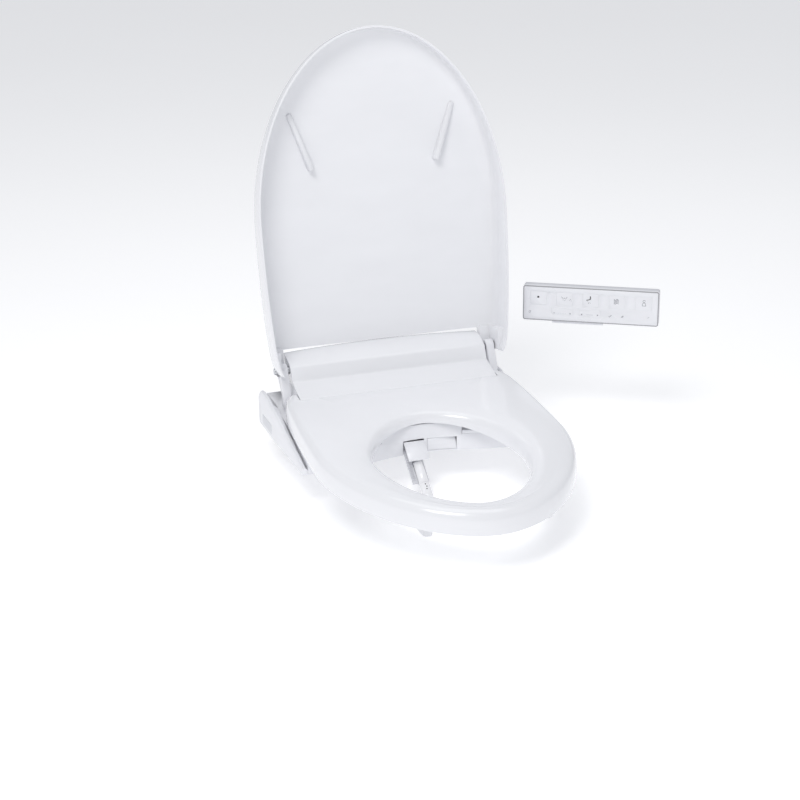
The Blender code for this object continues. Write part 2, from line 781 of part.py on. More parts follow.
def make_side_covers():
    for side, sign in (("left", -1), ("right", 1)):
        cover = side_solid("side_cover_" + side, sign, 0.0)
        combine(cover, side_solid("side_room_" + side, sign, 2.2))
        if side == "left":
            hole = block("filter_mouth", (-200.0, -10.6, 7.4), (-170.0, 40.6, 22.6))
        else:
            hole = block("button_mouth", (170.0, 11.6, 7.6), (200.0, 28.4, 16.4))
        combine(cover, hole)
        paint(cover, WHITE, 0.25)


def make_mounting():
    plate = prism("mounting_plate", rounded(-100.0, 100.0, -40.0, 25.0, 6.0), "Z", 0.0, 2.7)
    paint(plate, SOFT_WHITE, 0.45)
    for side, x in zip(("left", "right"), BOLT_XS):
        combine(plate, prism("bolt_hole", circle(4.4, 20, (x, 0.0)), "Z", -2.0, 6.0))
        combine(plate, prism("bolt_seat", circle(9.4, 20, (x, 0.0)), "Z", 1.0, 6.0))
        rings = []
        for radius, z in ((4.0, -44.0), (4.0, 1.3), (9.0, 1.3), (9.0, 2.5)):
            rings.append([(a, b, z) for a, b in circle(radius, 20, (x, 0.0))])
        paint(solid("mounting_bolt_" + side, *skin(rings)), STEEL, 0.3, 1.0)
        nut = prism("mounting_nut_" + side, circle(9.0, 6, (x, 0.0)), "Z", -36.0, -26.0)
        washer = prism("nut_flange", circle(13.0, 20, (x, 0.0)), "Z", -27.0, -24.3)
        combine(nut, washer, "UNION")
        combine(nut, prism("nut_bore", circle(4.4, 20, (x, 0.0)), "Z", -50.0, 0.0))
        paint(nut, SOFT_WHITE, 0.5)


def make_water_parts():
    spout = [(9.0, 0.0), (9.0, 20.0), (10.5, 20.5), (10.5, 22.0), (9.6, 22.5), (10.5, 24.0)]
    spout += [(9.6, 25.0), (10.5, 26.5), (9.6, 27.5), (10.5, 29.0), (9.4, 30.0)]
    spout += [(5.0, 30.0), (5.0, 4.0)]
    inlet = turned("water_inlet", spout, 20)
    inlet.location = Vector((-ENTRY_X, 48.5, ENTRY_Z)) * MM
    inlet.rotation_euler.x = math.radians(-90.0)
    paint(inlet, BRASS, 0.35, 1.0)
    valve = block("inlet_valve", (-163.0, 14.0, 6.0), (-137.0, 48.0, 28.0))
    combine(valve, prism("coil", circle(9.0, 20, (-150.0, 31.0)), "Z", 26.0, 42.0), "UNION")
    paint(valve, DARK, 0.4)
    tank = block("heater_tank", (-130.0, -36.0, 6.0), (-62.0, 44.0, 62.0))
    combine(tank, block("tank_room", (-127.0, -33.0, 9.0), (-65.0, 41.0, 59.0)))
    combine(tank, prism("tank_port", circle(5.0, 16, (-96.0, 20.0)), "Z", 50.0, 70.0))
    paint(tank, SOFT_WHITE, 0.4)


def make_electrics():
    low, high, z = (96.0, -36.0), (150.0, 44.0), 40.0
    board = block("control_board", (*low, z), (*high, z + 1.6))
    for x, y, size in ((104.0, -28.0, 12.0), (128.0, 4.0, 9.0)):
        chip = block("chip", (x, y, z + 1.0), (x + size, y + size, z + 4.0))
        combine(board, chip, "UNION")
    for k in range(4):
        can = circle(3.0, 12, (low[0] + 8.0 + 10.0 * k, high[1] - 8.0))
        combine(board, prism("capacitor", can, "Z", z + 1.0, z + 10.0), "UNION")
    paint(board, GREEN, 0.5)
    gland = turned("cord_gland", [(6.0, 0.0), (6.0, 14.0), (8.0, 14.3), (8.0, 18.0), (5.2, 34.0),
                                  (3.4, 34.0), (3.4, 2.0)], 20)
    gland.location = Vector((ENTRY_X, 48.0, ENTRY_Z)) * MM
    gland.rotation_euler.x = math.radians(-90.0)
    paint(gland, SOFT_WHITE, 0.6)


def arc_trough(inner, outer, start_deg, end_deg, steps=12):
    """A round channel's section, as (x, n)."""
    points = []
    for radius, order in ((outer, 1), (inner, -1)):
        for k in range(steps + 1)[::order]:
            angle = math.radians(start_deg + (end_deg - start_deg) * k / steps)
            points.append((radius * math.cos(angle), radius * math.sin(angle)))
    return points


def along_wand(name, outline, s0, s1):
    """An outline of (x, n) carried along the wand, in the wand's own axes."""
    return prism(name, outline, "Y", -s1, -s0)


def make_wand(frame):
    trough = along_wand("nozzle_trough", arc_trough(7.7, 10.0, 190.0, 350.0), RACK_START, TROUGH_END)
    pitch = 2 * math.pi * PINION_R / PINION_TEETH
    outline = [(-RACK_START, -5.6), (-RACK_START, -3.4)]
    for tooth in range(-1, int((TROUGH_END - PINION_S) / pitch)):
        s = PINION_S + tooth * pitch
        for offset, n in ((-0.25, -3.4), (-0.07, -1.2), (0.07, -1.2), (0.25, -3.4)):
            outline.append((-s - offset * pitch, n))
    outline.append((-TROUGH_END, -3.4))
    outline.append((-TROUGH_END, -5.6))
    strip = prism("rack_strip", outline, "X", -15.0, -7.0)
    combine(trough, strip, "UNION")
    bed = prism("wand_bed", circle(7.7, 24), "Y", -TROUGH_END - 5.0, -RACK_START + 5.0)
    combine(trough, bed)
    paint(trough, GREY, 0.4)
    wand = along_wand("nozzle_wand", circle(WAND_R, 24), WAND_START, WAND_END - 26.0)
    combine(wand, along_wand("water_way", circle(3.5, 16), WAND_START - 5.0, WAND_END))
    paint(wand, WHITE, 0.2)
    rings = []
    for s, r in ((WAND_END - 26.0 + GAP, WAND_R), (WAND_END - 5.0, WAND_R),
                 (WAND_END - 1.5, WAND_R - 1.2), (WAND_END, WAND_R - 3.4)):
        rings.append([(x, -s, n) for x, n in circle(r, 24)])
    tip = solid("nozzle_tip", *skin(rings))
    for k in range(3):
        s = WAND_END - 22.0 + 4.0 * k
        combine(tip, prism("spray_hole", circle(0.8, 8, (0.0, -s)), "Z", 3.0, 12.0))
    paint(tip, WHITE, 0.2)
    guide = along_wand("nozzle_guide", arc_trough(10.4, 12.6, 215.0, 325.0), -84.0, -4.0)
    paint(guide, SOFT_WHITE, 0.5)
    carry([trough, wand, tip, guide], frame)


def make_nozzle_drive(frame):
    """Pinion above the rack, and its motor beside it."""
    n = -2.3 + PINION_R
    gear = []
    for tooth in range(PINION_TEETH):
        middle = 2 * math.pi * tooth / PINION_TEETH
        for offset, radius in ((-0.25, 3.6), (-0.1, 5.8), (0.1, 5.8), (0.25, 3.6)):
            angle = middle + offset * 2 * math.pi / PINION_TEETH
            gear.append((radius * math.cos(angle), radius * math.sin(angle)))
    pinion = prism("drive_pinion", gear, "X", -15.0, -10.6)
    pinion.location = Vector((0.0, -PINION_S, n)) * MM
    combine(pinion, prism("pinion_bore", circle(1.8, 12), "X", -20.0, 0.0))
    paint(pinion, SOFT_WHITE, 0.4)
    motor = prism("nozzle_motor", circle(9.0, 20, (-PINION_S, n)), "X", -36.5, -16.0)
    shaft = prism("motor_shaft", circle(1.5, 12, (-PINION_S, n)), "X", -17.0, -10.9)
    combine(motor, shaft, "UNION")
    paint(motor, STEEL, 0.4, 0.8)
    carry([pinion, motor], frame)
    for modifier in pinion.modifiers:
        modifier.object.location = pinion.location


def make_flap(axis):
    """The flap that the wand pushes open."""
    outline = [(0.0, 1.0), (FLAP_THICK, 1.0), (FLAP_THICK, -FLAP_LENGTH), (0.0, -FLAP_LENGTH)]
    flap = prism("nozzle_flap", outline, "X", *FLAP_X)
    paint(soften(flap, 0.5), WHITE, 0.25)
    carry([flap], axis)


def make_dryer():
    door_y = BASE_FRONT_MID_Y - 1.0
    low = (DOOR_X[0], door_y, DOOR_Z[0])
    door = block("dryer_door", low, (DOOR_X[1], door_y + DOOR_THICK, DOOR_Z[1]))
    axis = pivot("dryer_door_axis", (0.0, door_y + 0.5 * DOOR_THICK, DOOR_Z[1] - 0.5 * DOOR_THICK))
    paint(soften(door, 0.4), WHITE, 0.3)
    hang([door], axis)
    duct = block("dryer_duct", (13.0, -130.0, 6.5), (53.0, -92.0, 22.0))
    combine(duct, block("duct_room", (14.5, -140.0, 8.0), (51.5, -80.0, 20.5)))
    paint(duct, SOFT_WHITE, 0.5)
    heater = block("dryer_heater", (16.0, -117.0, 12.0), (50.0, -99.0, 13.2))
    for k in range(6):
        x = 17.0 + 6.0 * k
        combine(heater, block("fin", (x, -116.0, 9.0), (x + 1.0, -100.0, 19.5)), "UNION")
    paint(heater, STEEL, 0.35, 1.0)
    case = prism("fan_housing", circle(29.0, 32, FAN_CENTRE), "Z", 6.0, 28.0)
    outlet = block("fan_outlet", (15.0, -91.7, 7.0), (51.0, -58.0, 21.5))
    combine(case, outlet, "UNION")
    combine(case, prism("fan_room", circle(26.5, 32, FAN_CENTRE), "Z", 8.0, 40.0))
    combine(case, block("outlet_room", (16.5, -100.0, 8.5), (49.5, -60.0, 20.0)))
    combine(case, prism("fan_motor", circle(7.0, 20, FAN_CENTRE), "Z", 7.0, 12.0), "UNION")
    combine(case, prism("fan_spindle", circle(1.5, 12, FAN_CENTRE), "Z", 11.0, 24.0), "UNION")
    paint(case, SOFT_WHITE, 0.5)
    wheel = prism("dryer_fan", circle(24.0, 24), "Z", 12.6, 14.0)
    for k in range(FAN_BLADES):
        angle = 2 * math.pi * k / FAN_BLADES
        blade = block("blade", (9.0, -0.7, 13.5), (23.0, 0.7, 23.0))
        blade.rotation_euler.z = angle
        combine(wheel, blade, "UNION")
    combine(wheel, prism("hub", circle(5.0, 16), "Z", 13.0, 22.0), "UNION")
    combine(wheel, prism("hub_bore", circle(1.8, 12), "Z", 0.0, 30.0))
    paint(wheel, DARK, 0.4)
    spin = pivot("dryer_fan_axis", (*FAN_CENTRE, 0.0))
    carry([wheel], spin)


def make_service_parts():
    button = prism("release_button", rounded(12.0, 28.0, 8.0, 16.0, 3.9, 5), "X", 172.0, 193.5)
    paint(button, SOFT_WHITE, 0.35)
    hang([button], pivot("release_button_place", (191.0, 20.0, 12.0)))
    filter_box = block("deodorizer_filter", (-190.5, -10.2, 7.8), (-135.0, 13.4, 22.2))
    face = block("filter_face", (-191.3, -10.2, 7.8), (-188.0, 40.2, 22.2))
    combine(filter_box, face, "UNION")
    for k in range(5):
        y = -7.0 + 3.6 * k
        combine(filter_box, block("filter_slot", (-180.0, y, 5.0), (-142.0, y + 1.8, 25.0)))
    paint(filter_box, SOFT_WHITE, 0.5)
    hang([filter_box], pivot("filter_place", (-191.0, 15.0, 15.0)))


# ---------------------------------------------------------------- remote


def make_remote():
    """Remote in its own axes: face towards local -Y, standing in a bracket on the wall behind it."""
    place = pivot("remote_place", REMOTE_CENTRE, 0.0, REMOTE_TURN_DEG)
    half, tall, deep = 0.5 * REMOTE_LENGTH, 0.5 * REMOTE_HEIGHT, 0.5 * REMOTE_DEPTH
    outer = rounded(-half, half, -tall, tall, 3.5, 4)
    split = -deep + 6.0
    front = prism("remote_front", outer, "Y", -deep, split)
    room = rounded(-half + 1.8, half - 1.8, -tall + 1.8, tall - 1.8, 2.0, 3)
    combine(front, prism("front_room", room, "Y", -deep + 1.8, split + 2.0))
    back = prism("remote_back", outer, "Y", split + GAP, deep)
    combine(back, prism("back_room", room, "Y", split - 2.0, deep - 1.8))
    door_room = rounded(37.4, 98.6, -16.6, 16.6, 1.5, 2)
    combine(back, prism("door_room", door_room, "Y", deep - 4.0, deep + 4.0))
    door = prism("battery_door", rounded(38.0, 98.0, -16.0, 16.0, 1.2, 2), "Y", deep - 1.6, deep)
    keys = []
    for label, x in KEYS.items():
        window = rounded(x - 13.0, x + 13.0, -3.0, 19.0, 2.4, 3)
        combine(front, prism("window_" + label, window, "Y", -deep - 2.0, split))
        face = rounded(x - 12.6, x + 12.6, -2.6, 18.6, 2.1, 3)
        keys.append(prism("key_" + label, face, "Y", -deep - 0.3, -deep + 2.6))
    for label, x in ROCKERS.items():
        window = rounded(x - 17.0, x + 17.0, -18.0, -7.0, 2.4, 3)
        combine(front, prism("window_" + label, window, "Y", -deep - 2.0, split))
        face = rounded(x - 16.5, x + 16.5, -17.5, -7.5, 2.1, 3)
        keys.append(prism("rocker_" + label, face, "Y", -deep - 0.3, -deep + 2.6))
    for key in keys:
        paint(key, WHITE, 0.3)
    low, high = (4.0 - half, -deep + 4.6, 4.0 - tall), (half - 4.0, -deep + 5.8, tall - 4.0)
    board = block("remote_board", low, high)
    cells = []
    for place_name, z in (("lower", -7.2), ("upper", 7.2)):
        cell = prism("battery_" + place_name, circle(5.0, 16, (2.1, z)), "X", 46.0, 90.0)
        paint(cell, STEEL, 0.3, 0.6)
        cells.append(cell)
    bracket = prism("wall_bracket", rounded(-70.0, 30.0, -tall - 4.0, 14.0, 4.0, 3), "Y",
                    deep + GAP, deep + 5.0)
    foot = block("bracket_foot", (-60.0, -deep + 3.0, -tall - 4.0), (20.0, deep + 4.0, -tall - GAP))
    combine(bracket, foot, "UNION")
    for obj, colour, rough in ((front, WHITE, 0.3), (back, GREY, 0.4), (door, GREY, 0.4)):
        paint(obj, colour, rough)
    paint(board, GREEN, 0.5)
    paint(bracket, WHITE, 0.4)
    carry([front, back, door, board, bracket, *cells, *keys], place)


def main():
    clear_scene()
    lid_axis = pivot("lid_axis", (0.0, HINGE_Y, HINGE_Z), -LID_OPEN_DEG)
    seat_axis = pivot("seat_axis", (0.0, HINGE_Y, HINGE_Z))
    make_lid(lid_axis)
    make_hinges(lid_axis, seat_axis)
    make_seat(seat_axis)
    make_tray()
    make_upper_case()
    make_top_cover()
    make_side_covers()
    make_mounting()
    make_water_parts()
    make_electrics()
    frame = wand_frame("wand_axis")
    make_wand(frame)
    make_nozzle_drive(frame)
    flap_place = (0.0, BASE_FRONT_MID_Y - 3.0, FLAP_TOP - 1.2)
    make_flap(pivot("flap_axis", flap_place, -FLAP_OPEN_DEG))
    make_dryer()
    make_service_parts()
    make_remote()


main()
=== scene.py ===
"""Looks of an electric bidet seat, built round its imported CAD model.

Shapes are worked out in millimetres and turned into metres as each mesh is made. Facing the toilet,
+X is to the right, -Y is towards the user and +Z is up.
"""

import json
import math

import bmesh
import bpy
from mathutils import Matrix, Vector


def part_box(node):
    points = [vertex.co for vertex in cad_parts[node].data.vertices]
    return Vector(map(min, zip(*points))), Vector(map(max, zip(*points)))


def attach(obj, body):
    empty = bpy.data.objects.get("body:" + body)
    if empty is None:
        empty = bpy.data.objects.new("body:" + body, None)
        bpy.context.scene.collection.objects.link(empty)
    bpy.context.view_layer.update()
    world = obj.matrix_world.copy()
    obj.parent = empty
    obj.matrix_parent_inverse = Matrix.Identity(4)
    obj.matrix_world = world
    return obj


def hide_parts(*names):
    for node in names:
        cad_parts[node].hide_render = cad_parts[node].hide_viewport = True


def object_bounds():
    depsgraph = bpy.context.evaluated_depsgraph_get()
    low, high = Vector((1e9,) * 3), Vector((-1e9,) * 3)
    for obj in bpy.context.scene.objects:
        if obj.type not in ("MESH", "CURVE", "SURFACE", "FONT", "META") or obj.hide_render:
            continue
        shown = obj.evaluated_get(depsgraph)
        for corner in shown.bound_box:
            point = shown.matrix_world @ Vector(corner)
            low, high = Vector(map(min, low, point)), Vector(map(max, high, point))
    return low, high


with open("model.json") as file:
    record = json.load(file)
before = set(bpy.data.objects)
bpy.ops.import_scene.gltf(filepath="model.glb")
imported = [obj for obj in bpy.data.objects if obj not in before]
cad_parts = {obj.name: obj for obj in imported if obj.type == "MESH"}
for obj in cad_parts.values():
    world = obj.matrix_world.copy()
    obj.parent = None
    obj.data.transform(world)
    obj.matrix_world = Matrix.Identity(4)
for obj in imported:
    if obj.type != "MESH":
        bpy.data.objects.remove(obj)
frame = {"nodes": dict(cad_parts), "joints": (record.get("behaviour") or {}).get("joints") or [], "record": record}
cad_box = [list(corner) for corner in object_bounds()]

MM = 0.001
NODES = frame["nodes"]
BODY_OF = {n: b for b, names in frame["record"]["behaviour"]["bodies"].items() for n in names}
SLOT_OF = {s["node"]: s["material_slot"] for s in frame["record"]["subparts"]}
JOINTS = {joint["name"]: joint for joint in frame["joints"]}


def low(node):
    return Vector(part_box(node)[0]) / MM


def high(node):
    return Vector(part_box(node)[1]) / MM


# ---------------------------------------------------------------- measures

HINGE = Vector(JOINTS["lid_hinge"]["pos_m"]) / MM

# Lid in its closed position: U from the hinge end to the tip, W up from the rim
LID_HALF = high("lid_shell").x
LID_REAR_HALF = LID_HALF - 13.5
LID_LENGTH, LID_WIDEST_U, LID_CENTRE_U = 512.0, 235.0, 230.0
LID_FRONT_POWER, LID_REAR_POWER = 1.98, 16.0
LID_DEPTH_REAR, LID_DEPTH_TIP = 78.0, 32.0
LID_EDGE_POWER = 7.0
LID_WALL = 3.0
LID_AXIS_U, LID_AXIS_W = 15.1, 43.0
LID_OPEN_DEG = 100.5
LID_NECK_HALF, LID_NECK_U = 157.6, 43.0
LID_BUMPER_TOP, LID_BUMPER_BOTTOM = (126.0, 390.0), (98.5, 312.0)

# Lid ears, and the slots for the hinge arms in them, as ranges of X, U and W
EAR_INSET = 1.2
EAR_X, EAR_U, EAR_W = (157.8, 196.0), (-5.0, 46.0), (12.0, 90.0)
ARM_SLOT_X, ARM_SLOT_U, ARM_SLOT_W = (150.0, 173.4), (-15.0, 52.0), (-10.0, 57.0)
EAR_BORE_X, EAR_BORE_R = (170.0, 178.6), 5.35
SOCKET_X, SOCKET_HALF, SOCKET_BORE_R = (172.9, 173.35), 8.0, 5.6

# Seat ring
SEAT_HALF = 187.0
SEAT_TIP_Y, SEAT_REAR_Y = low("seat_top").y, -14.0
SEAT_WIDEST_Y, SEAT_CENTRE_Y = -231.0, -255.0
SEAT_REAR_TAPER = 11.0
SEAT_FRONT_POWER, SEAT_REAR_POWER = 1.82, 14.0
SEAT_THICK, SEAT_SLOPE, SEAT_FRONT_BOTTOM = 32.5, 0.07, 11.0
SEAT_WALL = 3.0
NOTCH_GAP = 1.6
RECESS_X = (-53.0, 15.0)
SEAT_SCREWS = ((-158.0, -120.0), (158.0, -120.0), (-150.0, -290.0), (150.0, -290.0), (0.0, -440.0))
OPENING_HALF, OPENING_POWER = 109.0, 1.85
OPENING_WIDEST_Y, OPENING_REAR_Y, OPENING_FRONT_Y = -263.0, -141.0, -415.0
OPENING_REAR_LIFT = 13.0

# Hinge bar and front plate
BAR_HALF = high("top_cover").x
PLATE_FRONT_Y = low("top_cover").y
BAR_TOP_Z = high("top_cover").z
BAR_CROWN = 5.0
BAR_WALL = 2.5
BAR_BORE_R = 5.6

# Wand, down and out from the front wall of the base
WAND_X = 0.5 * (low("nozzle_wand").x + high("nozzle_wand").x)
WAND_R = 0.5 * (high("nozzle_wand").x - low("nozzle_wand").x)
WAND_Y, WAND_Z = -138.0, 5.6
WAND_TILT_DEG = 37.0
WAND_START, TIP_START, WAND_END = 22.0, 58.0, 84.0
WAND_BORE_R, TIP_ROUND = 3.5, 5.0
SPRAY_FIRST, SPRAY_PITCH, SPRAY_R = WAND_END - 22.0, 4.0, 0.95

# Front wall of the base, and how far the dryer's door lies behind it
WALL_MID_Y, WALL_CURVE_HALF = -138.0, 150.0
DOOR_THICK, DOOR_BEHIND = 2.2, 0.25

# Thread of the mounting bolts
THREAD_PITCH, THREAD_ROOT, THREAD_CREST = 1.6, 3.5, 4.0

# Remote
REMOTE_CENTRE = (333.0, 0.0, 151.0)
REMOTE_TURN_DEG = -31.0
REMOTE_LENGTH, REMOTE_HEIGHT, REMOTE_DEPTH = 212.0, 56.0, 18.0
KEYS = {"stop": -82.0, "rear": -41.0, "front": 0.0, "dryer": 41.0, "person": 82.0}
KEY_HALF, KEY_Z = 12.75, (-2.75, 18.75)
ROCKERS = {"pressure": -44.0, "position": -1.0}
ROCKER_HALF, ROCKER_Z = 16.7, (-17.7, -7.3)
MARKS_TOP, MARKS_LOW = 9.2, -14.8

# Camera: its turn round the object, then how far back, across and up it stands in its own axes
VIEW_AZIMUTH, VIEW_ELEVATION, VIEW_ROLL = -18.6294, 20.6679, -0.5365
VIEW_DISTANCE, VIEW_ACROSS, VIEW_UP = 2.80173, 0.015116, 0.031990
VIEW_LENS = 81.958


# ---------------------------------------------------------------- materials


def new_material(name, colour, roughness, metallic=0.0, coat=0.0):
    """A Principled material, its node tree and its shader, with the fixed values on its sockets."""
    material = bpy.data.materials.new(name)
    material.use_nodes = True
    shader = material.node_tree.nodes["Principled BSDF"]
    shader.inputs["Base Color"].default_value = (*colour, 1.0)
    shader.inputs["Roughness"].default_value = roughness
    shader.inputs["Metallic"].default_value = metallic
    shader.inputs["Coat Weight"].default_value = coat
    shader.inputs["Coat Roughness"].default_value = 0.08
    return material, material.node_tree, shader


def noise(tree, scale, detail=4.0, stretch=(1.0, 1.0, 1.0)):
    """Noise in object space, with an optional stretch along each axis."""
    place = tree.nodes.new("ShaderNodeTexCoord")
    mapping = tree.nodes.new("ShaderNodeMapping")
    mapping.inputs["Scale"].default_value = stretch
    texture = tree.nodes.new("ShaderNodeTexNoise")
    texture.inputs["Scale"].default_value = scale
    texture.inputs["Detail"].default_value = detail
    tree.links.new(place.outputs["Object"], mapping.inputs["Vector"])
    tree.links.new(mapping.outputs["Vector"], texture.inputs["Vector"])
    return texture.outputs["Fac"]


def vary_colour(tree, shader, factor, dark, light):
    ramp = tree.nodes.new("ShaderNodeValToRGB")
    ramp.color_ramp.elements[0].position = 0.3
    ramp.color_ramp.elements[1].position = 0.7
    ramp.color_ramp.elements[0].color = (*dark, 1.0)
    ramp.color_ramp.elements[1].color = (*light, 1.0)
    tree.links.new(factor, ramp.inputs["Fac"])
    tree.links.new(ramp.outputs["Color"], shader.inputs["Base Color"])


def vary_roughness(tree, shader, factor, least, most):
    spread = tree.nodes.new("ShaderNodeMapRange")
    spread.inputs["From Min"].default_value = 0.3
    spread.inputs["From Max"].default_value = 0.7
    spread.inputs["To Min"].default_value = least
    spread.inputs["To Max"].default_value = most
    tree.links.new(factor, spread.inputs["Value"])
    tree.links.new(spread.outputs["Result"], shader.inputs["Roughness"])


def add_bump(tree, shader, factor, strength, depth):
    bump = tree.nodes.new("ShaderNodeBump")
    bump.inputs["Strength"].default_value = strength
    bump.inputs["Distance"].default_value = depth
    tree.links.new(factor, bump.inputs["Height"])
    tree.links.new(bump.outputs["Normal"], shader.inputs["Normal"])


def scaled(colour, share):
    return tuple(min(1.0, channel * share) for channel in colour)


def moulded(name, colour, roughness, coat=0.0, grain=900.0, depth=0.00002, strength=0.15):
    """Injection-moulded plastic: faint flow marks in its colour, a fine skin, uneven gloss."""
    material, tree, shader = new_material(name, colour, roughness, coat=coat)
    flow = noise(tree, 9.0, 3.0, (1.0, 1.0, 2.5))
    vary_colour(tree, shader, flow, scaled(colour, 0.985), scaled(colour, 1.01))
    vary_roughness(tree, shader, noise(tree, 28.0), roughness * 0.85, roughness * 1.2)
    add_bump(tree, shader, noise(tree, grain, 2.0), strength, depth)
    return material


def brushed(name, colour, roughness, stretch):
    material, tree, shader = new_material(name, colour, roughness, metallic=1.0)
    lines = noise(tree, 240.0, 5.0, stretch)
    vary_colour(tree, shader, lines, scaled(colour, 0.9), scaled(colour, 1.06))
    vary_roughness(tree, shader, lines, roughness * 0.8, roughness * 1.4)
    add_bump(tree, shader, lines, 0.2, 0.00003)
    return material


def circuit(name):
    """Solder mask with copper tracks under it."""
    green = (0.02, 0.16, 0.07)
    material, tree, shader = new_material(name, green, 0.35, coat=0.4)
    place = tree.nodes.new("ShaderNodeTexCoord")
    tracks = tree.nodes.new("ShaderNodeTexBrick")
    tracks.inputs["Scale"].default_value = 60.0
    tracks.inputs["Color1"].default_value = (*green, 1.0)
    tracks.inputs["Color2"].default_value = (0.03, 0.2, 0.09, 1.0)
    tracks.inputs["Mortar"].default_value = (0.09, 0.3, 0.12, 1.0)
    tracks.inputs["Mortar Size"].default_value = 0.03
    tree.links.new(place.outputs["Object"], tracks.inputs["Vector"])
    tree.links.new(tracks.outputs["Color"], shader.inputs["Base Color"])
    add_bump(tree, shader, tracks.outputs["Fac"], 0.3, 0.0001)
    return material


WHITE = (0.90, 0.905, 0.93)
MATERIALS = {
    "gloss_white": moulded("gloss_white", WHITE, 0.20, coat=0.5, strength=0.06),
    "satin_white": moulded("satin_white", (0.885, 0.89, 0.92), 0.34, coat=0.15, grain=1400.0),
    "wand_white": moulded("wand_white", (0.90, 0.90, 0.92), 0.16, coat=0.6, strength=0.05),
    "inner_white": moulded("inner_white", (0.76, 0.77, 0.80), 0.5, grain=700.0, strength=0.3),
    "grey_plastic": moulded("grey_plastic", (0.36, 0.37, 0.40), 0.42, grain=1100.0, strength=0.3),
    "soft_white": moulded("soft_white", (0.84, 0.845, 0.87), 0.55, grain=600.0, strength=0.35),
    "dark_plastic": moulded("dark_plastic", (0.045, 0.046, 0.05), 0.4, grain=1000.0),
    "steel": brushed("steel", (0.62, 0.63, 0.65), 0.28, (0.05, 1.0, 1.0)),
    "brass": brushed("brass", (0.78, 0.60, 0.28), 0.3, (1.0, 1.0, 1.0)),
    "circuit_board": circuit("circuit_board"),
}
PALE_GREY = moulded("pale_grey", (0.70, 0.705, 0.74), 0.38, grain=1100.0, strength=0.25)
BEZEL = moulded("remote_bezel", (0.40, 0.40, 0.42), 0.35, grain=1200.0)
FACE = moulded("remote_face", (0.90, 0.905, 0.935), 0.3, coat=0.2, grain=1500.0)
# Dark ink for printed marks, also used as the painted shade of the spray holes in the wand tip
DARK_INK_AND_HOLE_SHADE = moulded("dark_ink_and_hole_shade", (0.03, 0.03, 0.035), 0.5)
INK_GREY = moulded("ink_grey", (0.30, 0.30, 0.33), 0.5)
INK_PALE = moulded("ink_pale", (0.50, 0.50, 0.54), 0.5)
SOCKET_GREY = moulded("socket_grey", (0.30, 0.30, 0.32), 0.45, grain=1000.0)


# ---------------------------------------------------------------- mesh helpers


def new_object(name, mesh):
    obj = bpy.data.objects.new(name, mesh)
    bpy.context.scene.collection.objects.link(obj)
    return obj


def solid(name, points, faces):
    """A closed mesh from points in millimetres, with its faces turned outwards."""
    mesh = bpy.data.meshes.new(name)
    bm = bmesh.new()
    verts = [bm.verts.new(Vector(p) * MM) for p in points]
    for face in faces:
        bm.faces.new([verts[i] for i in face])
    bmesh.ops.remove_doubles(bm, verts=bm.verts, dist=1e-6)
    bmesh.ops.recalc_face_normals(bm, faces=bm.faces)
    bm.to_mesh(mesh)
    bm.free()
    return new_object(name, mesh)


def skin(rings, closed=False):
    """Points and faces of a tube through rings, capped at its ends unless it closes on itself."""
    count = len(rings[0])
    points = [p for ring in rings for p in ring]
    pairs = list(zip(range(len(rings)), range(1, len(rings))))
    if closed:
        pairs.append((len(rings) - 1, 0))
    faces = []
    for a, b in pairs:
        for i in range(count):
            j = (i + 1) % count
            faces.append((a * count + i, a * count + j, b * count + j, b * count + i))
    if not closed:
        faces.append(tuple(range(count)))
        faces.append(tuple((len(rings) - 1) * count + i for i in range(count)))
    return points, faces


def prism(name, outline, axis, start, end):
    """An outline carried along one axis: (y, z) along X, (x, z) along Y or (x, y) along Z."""
    place = {
        "X": lambda a, b, c: (c, a, b),
        "Y": lambda a, b, c: (a, c, b),
        "Z": lambda a, b, c: (a, b, c),
    }[axis]
    rings = [[place(a, b, c) for a, b in outline] for c in (start, end)]
    return solid(name, *skin(rings))


def block(name, first, last):
    (x0, y0, z0), (x1, y1, z1) = first, last
    return prism(name, [(x0, y0), (x1, y0), (x1, y1), (x0, y1)], "Z", z0, z1)


def rounded(x0, x1, y0, y1, radius, steps=6):
    """A rectangle with round corners."""
    points = []
    corners = (
        (x1 - radius, y1 - radius, 0),
        (x0 + radius, y1 - radius, 90),
        (x0 + radius, y0 + radius, 180),
        (x1 - radius, y0 + radius, 270),
    )
    for cx, cy, start in corners:
        for k in range(steps + 1):
            angle = math.radians(start + 90.0 * k / steps)
            points.append((cx + radius * math.cos(angle), cy + radius * math.sin(angle)))
    return points


def circle(radius, steps=48, centre=(0.0, 0.0)):
    turn = 2 * math.pi / steps
    return [
        (centre[0] + radius * math.cos(i * turn), centre[1] + radius * math.sin(i * turn))
        for i in range(steps)
    ]


def cut(target, tool, operation="DIFFERENCE"):
    """Booleans a tool into a target at once, and removes the tool."""
    modifier = target.modifiers.new("cut", "BOOLEAN")
    modifier.object = tool
    modifier.operation = operation
    modifier.solver = "MANIFOLD"
    freeze(target)
    bpy.data.objects.remove(tool, do_unlink=True)
    return target


def freeze(obj):
    """Applies an object's modifiers."""
    bpy.context.view_layer.update()
    graph = bpy.context.evaluated_depsgraph_get()
    mesh = bpy.data.meshes.new_from_object(obj.evaluated_get(graph))
    obj.modifiers.clear()
    obj.data = mesh
    return obj


def finish_edges(obj, width, segments=3, angle_deg=32.0, smooth_deg=50.0):
    """Rounds the sharp edges and shades the rest smooth."""
    if width:
        bevel = obj.modifiers.new("edges", "BEVEL")
        bevel.width = width * MM
        bevel.segments = segments
        bevel.limit_method = "ANGLE"
        bevel.angle_limit = math.radians(angle_deg)
        bevel.use_clamp_overlap = True
        freeze(obj)
    obj.data.shade_smooth()
    obj.data.set_sharp_from_angle(angle=math.radians(smooth_deg))
    return obj


def repaint(obj, material):
    """Leaves a piece with one material."""
    obj.data.materials.clear()
    obj.data.materials.append(material)


